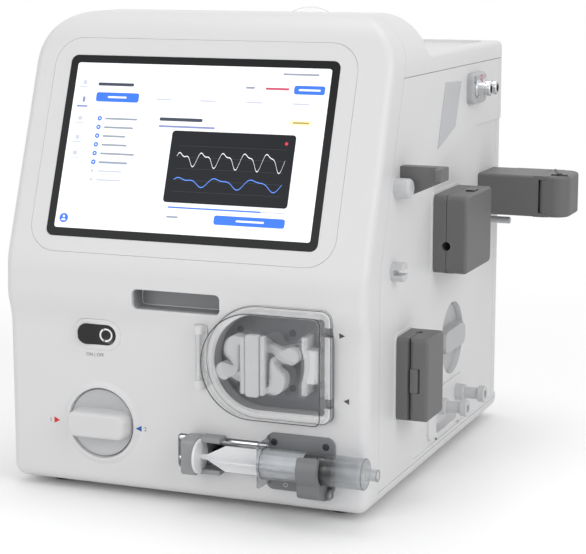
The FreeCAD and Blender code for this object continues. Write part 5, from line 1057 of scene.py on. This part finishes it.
# A thin darker grey sheet inside the recess under the display: painted shade, where the recess's
# own shadow falls.
SHADE_SHEET_DEPTH = 15.7
SHADE_SHEET_FRONT = -2.4
SHADE_SHEET_WALL = 0.6
outer = card(-48.3, 41.3, 186.2, 204.8, 5.0)
inner = card(-47.7, 40.7, 186.8, 204.2, 4.6)
shape = bmesh.new()
join_loops(shape, [[at(x, y, z) for x, z in outline] for y, outline in
                   ((SHADE_SHEET_DEPTH, outer), (SHADE_SHEET_FRONT, outer), (SHADE_SHEET_FRONT, inner),
                    (SHADE_SHEET_DEPTH - SHADE_SHEET_WALL, inner))])
piece_of("grip_recess_painted_shade", shape, moulded("painted shade in the grip recess", "#9C9DA0", 0.5), "housing")

ARM_TOP = 283.0
JAW_SPLIT = 248.5
ROOF_LOW = ARM_TOP - 1.6
ROOF_HIGH = ARM_TOP - 0.02
ROOF_FRONT = 382.0
ROOF_BACK = 417.6
CATCH_PIVOT = (268.5, 366.0)
for name, near, far, body in (("arm_roof", 209.0, JAW_SPLIT - 0.1, "housing"),
                              ("jaw_roof", JAW_SPLIT + 0.6, 262.0, "holder_jaw")):
    roof = card(near, far, ROOF_FRONT, ROOF_BACK, 0.5)
    slabs(name, [(roof, upward, ROOF_LOW, ROOF_HIGH)], nylon_dark, body)
catch = [(card(259.5, 277.5, 364.6, 367.6, 1.2), upward, ARM_TOP, ARM_TOP + 1.4),
         (band([CATCH_PIVOT, (252.5, 413.0)], [2.4, 2.0]), upward, ARM_TOP, ARM_TOP + 1.0),
         (disc(*CATCH_PIVOT, 2.6), upward, ARM_TOP, ARM_TOP + 2.6)]
slabs("jaw_catch", catch, moulded("glass-filled nylon, catch grey", "#4A4A4B", 0.5),
      "holder_jaw")
print("knob, lining and roof ready")

# %% [markdown]
# ## Turned and flat pieces on the side
# Pegs and ports are turned shapes, each a profile about its own axis. The ports have a
# flange, a neck and a plain end collar. The inlay is a flat plate with nearly sharp corners.

# %% Pegs, ports and inlay
PORT_PROFILE = [(0.6, 8.6), (9.5, 8.6), (10.5, 8.0), (10.5, 6.1), (25.0, 6.1), (25.0, 8.0),
                (25.6, 8.6), (31.5, 8.6), (32.0, 8.1), (32.0, 4.0), (5.0, 4.0)]
PORT_PLACES = ((213.0, 62.5), (277.0, 62.5))
DOME_STEPS = 6


def on_side_axis(y, z):
    """Place function about an axis that stands on the right side."""
    def place(along, u, v):
        return at(RIGHT + along, y + u, z + v)
    return place


def dome(reach, radius, fillet, start=0.0):
    """Profile of a plain rod with a rounded end."""
    profile = [(start, radius), (reach - fillet, radius)]
    for k in range(1, DOME_STEPS):
        angle = radians(90 * k / DOME_STEPS)
        profile.append((reach - fillet + fillet * sin(angle),
                        radius - fillet + fillet * cos(angle)))
    return profile + [(reach, radius - fillet)]


shape = bmesh.new()
turned(shape, dome(16.0, 9.4, 4.0), on_side_axis(73.0, 302.0))
turned(shape, dome(22.0, 3.7, 0.8, -2.4), on_side_axis(400.0, 227.5))
pegs = piece_of("line_peg_rods", shape, clip_abs, "housing")
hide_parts("line_pegs")
shape = bmesh.new()
for y, z in PORT_PLACES:
    turned(shape, PORT_PROFILE, on_side_axis(y, z))
ports = piece_of("port_fittings", shape, clip_abs, "housing")
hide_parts("drain_ports")
inlay = [(225.1, 388.4), (278.7, 386.1), (258.9, 341.5), (200.2, 324.1)]
inlay_plate = slabs("inlay_plate", [(inlay, sideways, 0.0, 0.7)],
                    moulded("painted ABS, inlay grey", "#C6C7CA", 0.45), "housing",
                    0.5)
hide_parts("side_inlay")
print("side pieces ready")

# %% [markdown]
# ## Small marks on the side
# A red and a blue ring tell the two couplings apart, and two small marks stand under the
# ports.

# %% Side marks
side = drop_on(["right_panel", "port_plate", "coupling_boss"], sideways, Vector((-1, 0, 0)))
ink_red = ink("side red", "#D8303A")
ink_blue = ink("side blue", "#27397A")
plates("coupling_ring_blue", ring_strips(303.5, 385.5, 3.4, 2.1, 24), side, 0.0, INK, ink_blue)
plates("coupling_ring_red", ring_strips(327.0, 386.5, 3.4, 2.1, 24), side, 0.0, INK, ink_red)
plates("side_mark_red", [triangle(292.0, 27.0, 4.2, 1)], side, 0.0, INK, ink_red)
plates("side_mark_grey", [triangle(214.0, 27.0, 3.6, -1)], side, 0.0, INK, ink_grey)
print("side marks placed")

# %% [markdown]
# ## Studio
# A pale floor, a white surround for the camera, and large soft lamps. The surround is white
# only for rays that come from the camera, from gloss and through clear pieces, so it does
# not light the object more than the lamps do. The floor keeps the shadow near the object and
# fades to the same white farther out, again only for the camera. Where the floor meets the
# object, ambient occlusion takes the lift away: a painted contact shadow.

# %% Floor, world, lamps
FLOOR_SIZE = 6.0
LIFT = 0.22
FADE_START = 0.50
FADE_END = 1.10
CONTACT_REACH = 0.12
AMBIENT = 0.50
floor_mesh = bpy.data.meshes.new("floor")
shape = bmesh.new()
bmesh.ops.create_grid(shape, x_segments=1, y_segments=1, size=FLOOR_SIZE)
shape.to_mesh(floor_mesh)
shape.free()
floor = show("floor", floor_mesh)
floor_material, floor_tree, floor_shader = new_material("studio floor, white")
speckle(floor_tree, floor_shader, "#F2F2F2", 0.01, 4.0, 0.02, 0.6)
spot = add(floor_tree, "ShaderNodeTexCoord").outputs["Object"]
reach = add(floor_tree, "ShaderNodeVectorMath", {0: spot}, operation="LENGTH")
away = add(floor_tree, "ShaderNodeMapRange", {
    "Value": reach.outputs["Value"], "From Min": FADE_START, "From Max": FADE_END},
    interpolation_type="SMOOTHSTEP")
camera_ray = add(floor_tree, "ShaderNodeLightPath").outputs["Is Camera Ray"]
# Ambient occlusion darkens the floor's lift where it meets the object: painted contact shadow.
open_sky = add(floor_tree, "ShaderNodeAmbientOcclusion", {"Distance": CONTACT_REACH})
lift = add(floor_tree, "ShaderNodeMath", {0: camera_ray, 1: LIFT}, operation="MULTIPLY")
lift = add(floor_tree, "ShaderNodeMath", {0: lift.outputs[0], 1: open_sky.outputs["AO"]},
           operation="MULTIPLY")
connect(floor_tree, floor_shader, {
    "Emission Color": linear("#FFFFFF"), "Emission Strength": lift.outputs[0]})
plain = add(floor_tree, "ShaderNodeEmission", {"Strength": 1.0})
fade = add(floor_tree, "ShaderNodeMath", {0: away.outputs["Result"], 1: camera_ray},
           operation="MULTIPLY")
blend = add(floor_tree, "ShaderNodeMixShader", {
    0: fade.outputs[0], 1: floor_shader.outputs["BSDF"], 2: plain.outputs["Emission"]})
floor_tree.links.new(blend.outputs["Shader"],
                     floor_tree.nodes["Material Output"].inputs["Surface"])
floor_mesh.materials.append(floor_material)

world = bpy.data.worlds.new("studio")
bpy.context.scene.world = world
world.use_nodes = True
sky = world.node_tree
background = sky.nodes["Background"]
ray = add(sky, "ShaderNodeLightPath")
seen = add(sky, "ShaderNodeMath", {0: ray.outputs["Is Camera Ray"],
                                   1: ray.outputs["Is Glossy Ray"]}, operation="MAXIMUM")
seen = add(sky, "ShaderNodeMath", {0: seen.outputs[0],
                                   1: ray.outputs["Is Transmission Ray"]}, operation="MAXIMUM")
strength = add(sky, "ShaderNodeMapRange", {"Value": seen.outputs[0], "To Min": AMBIENT,
                                           "To Max": 1.0})
background.inputs["Color"].default_value = linear("#FFFFFF")
sky.links.new(strength.outputs["Result"], background.inputs["Strength"])


def lamp(name, place, aim, size, power):
    """Square soft lamp that points at a place."""
    data = bpy.data.lights.new(name, "AREA")
    data.size = size
    data.energy = power
    thing = show(name, data)
    thing.location = place
    thing.rotation_euler = (Vector(aim) - Vector(place)).to_track_quat("-Z", "Y").to_euler()


lamp("key", (-1.0, -2.6, 1.1), (0, 0, 0.2), 1.6, 15)
lamp("fill", (2.4, -1.2, 1.6), (0, 0, 0.2), 1.8, 25)
lamp("top", (0.0, 0.3, 2.6), (0, 0, 0.3), 1.5, 16)
print("studio ready")

# %% [markdown]
# ## Camera
# The view is that of a long lens from the front right, a little above the object.

# %% Camera
CAMERA_PLACE = (718.8, -1527.5, 525.6)
CAMERA_TILT = 79.673
CAMERA_TURN = 21.667
LENS_MM = 113.16
camera_data = bpy.data.cameras.new("camera")
camera_data.sensor_fit = "HORIZONTAL"
camera_data.sensor_width = 36.0
camera_data.lens = LENS_MM
camera_data.clip_start = 0.05
camera_data.clip_end = 50.0
camera = show("camera", camera_data)
camera.location = at(*CAMERA_PLACE)
camera.rotation_euler = (radians(CAMERA_TILT), 0.0, radians(CAMERA_TURN))
bpy.context.scene.camera = camera
bpy.context.scene.view_settings.view_transform = "Standard"
print("camera at", tuple(round(c, 4) for c in camera.location))
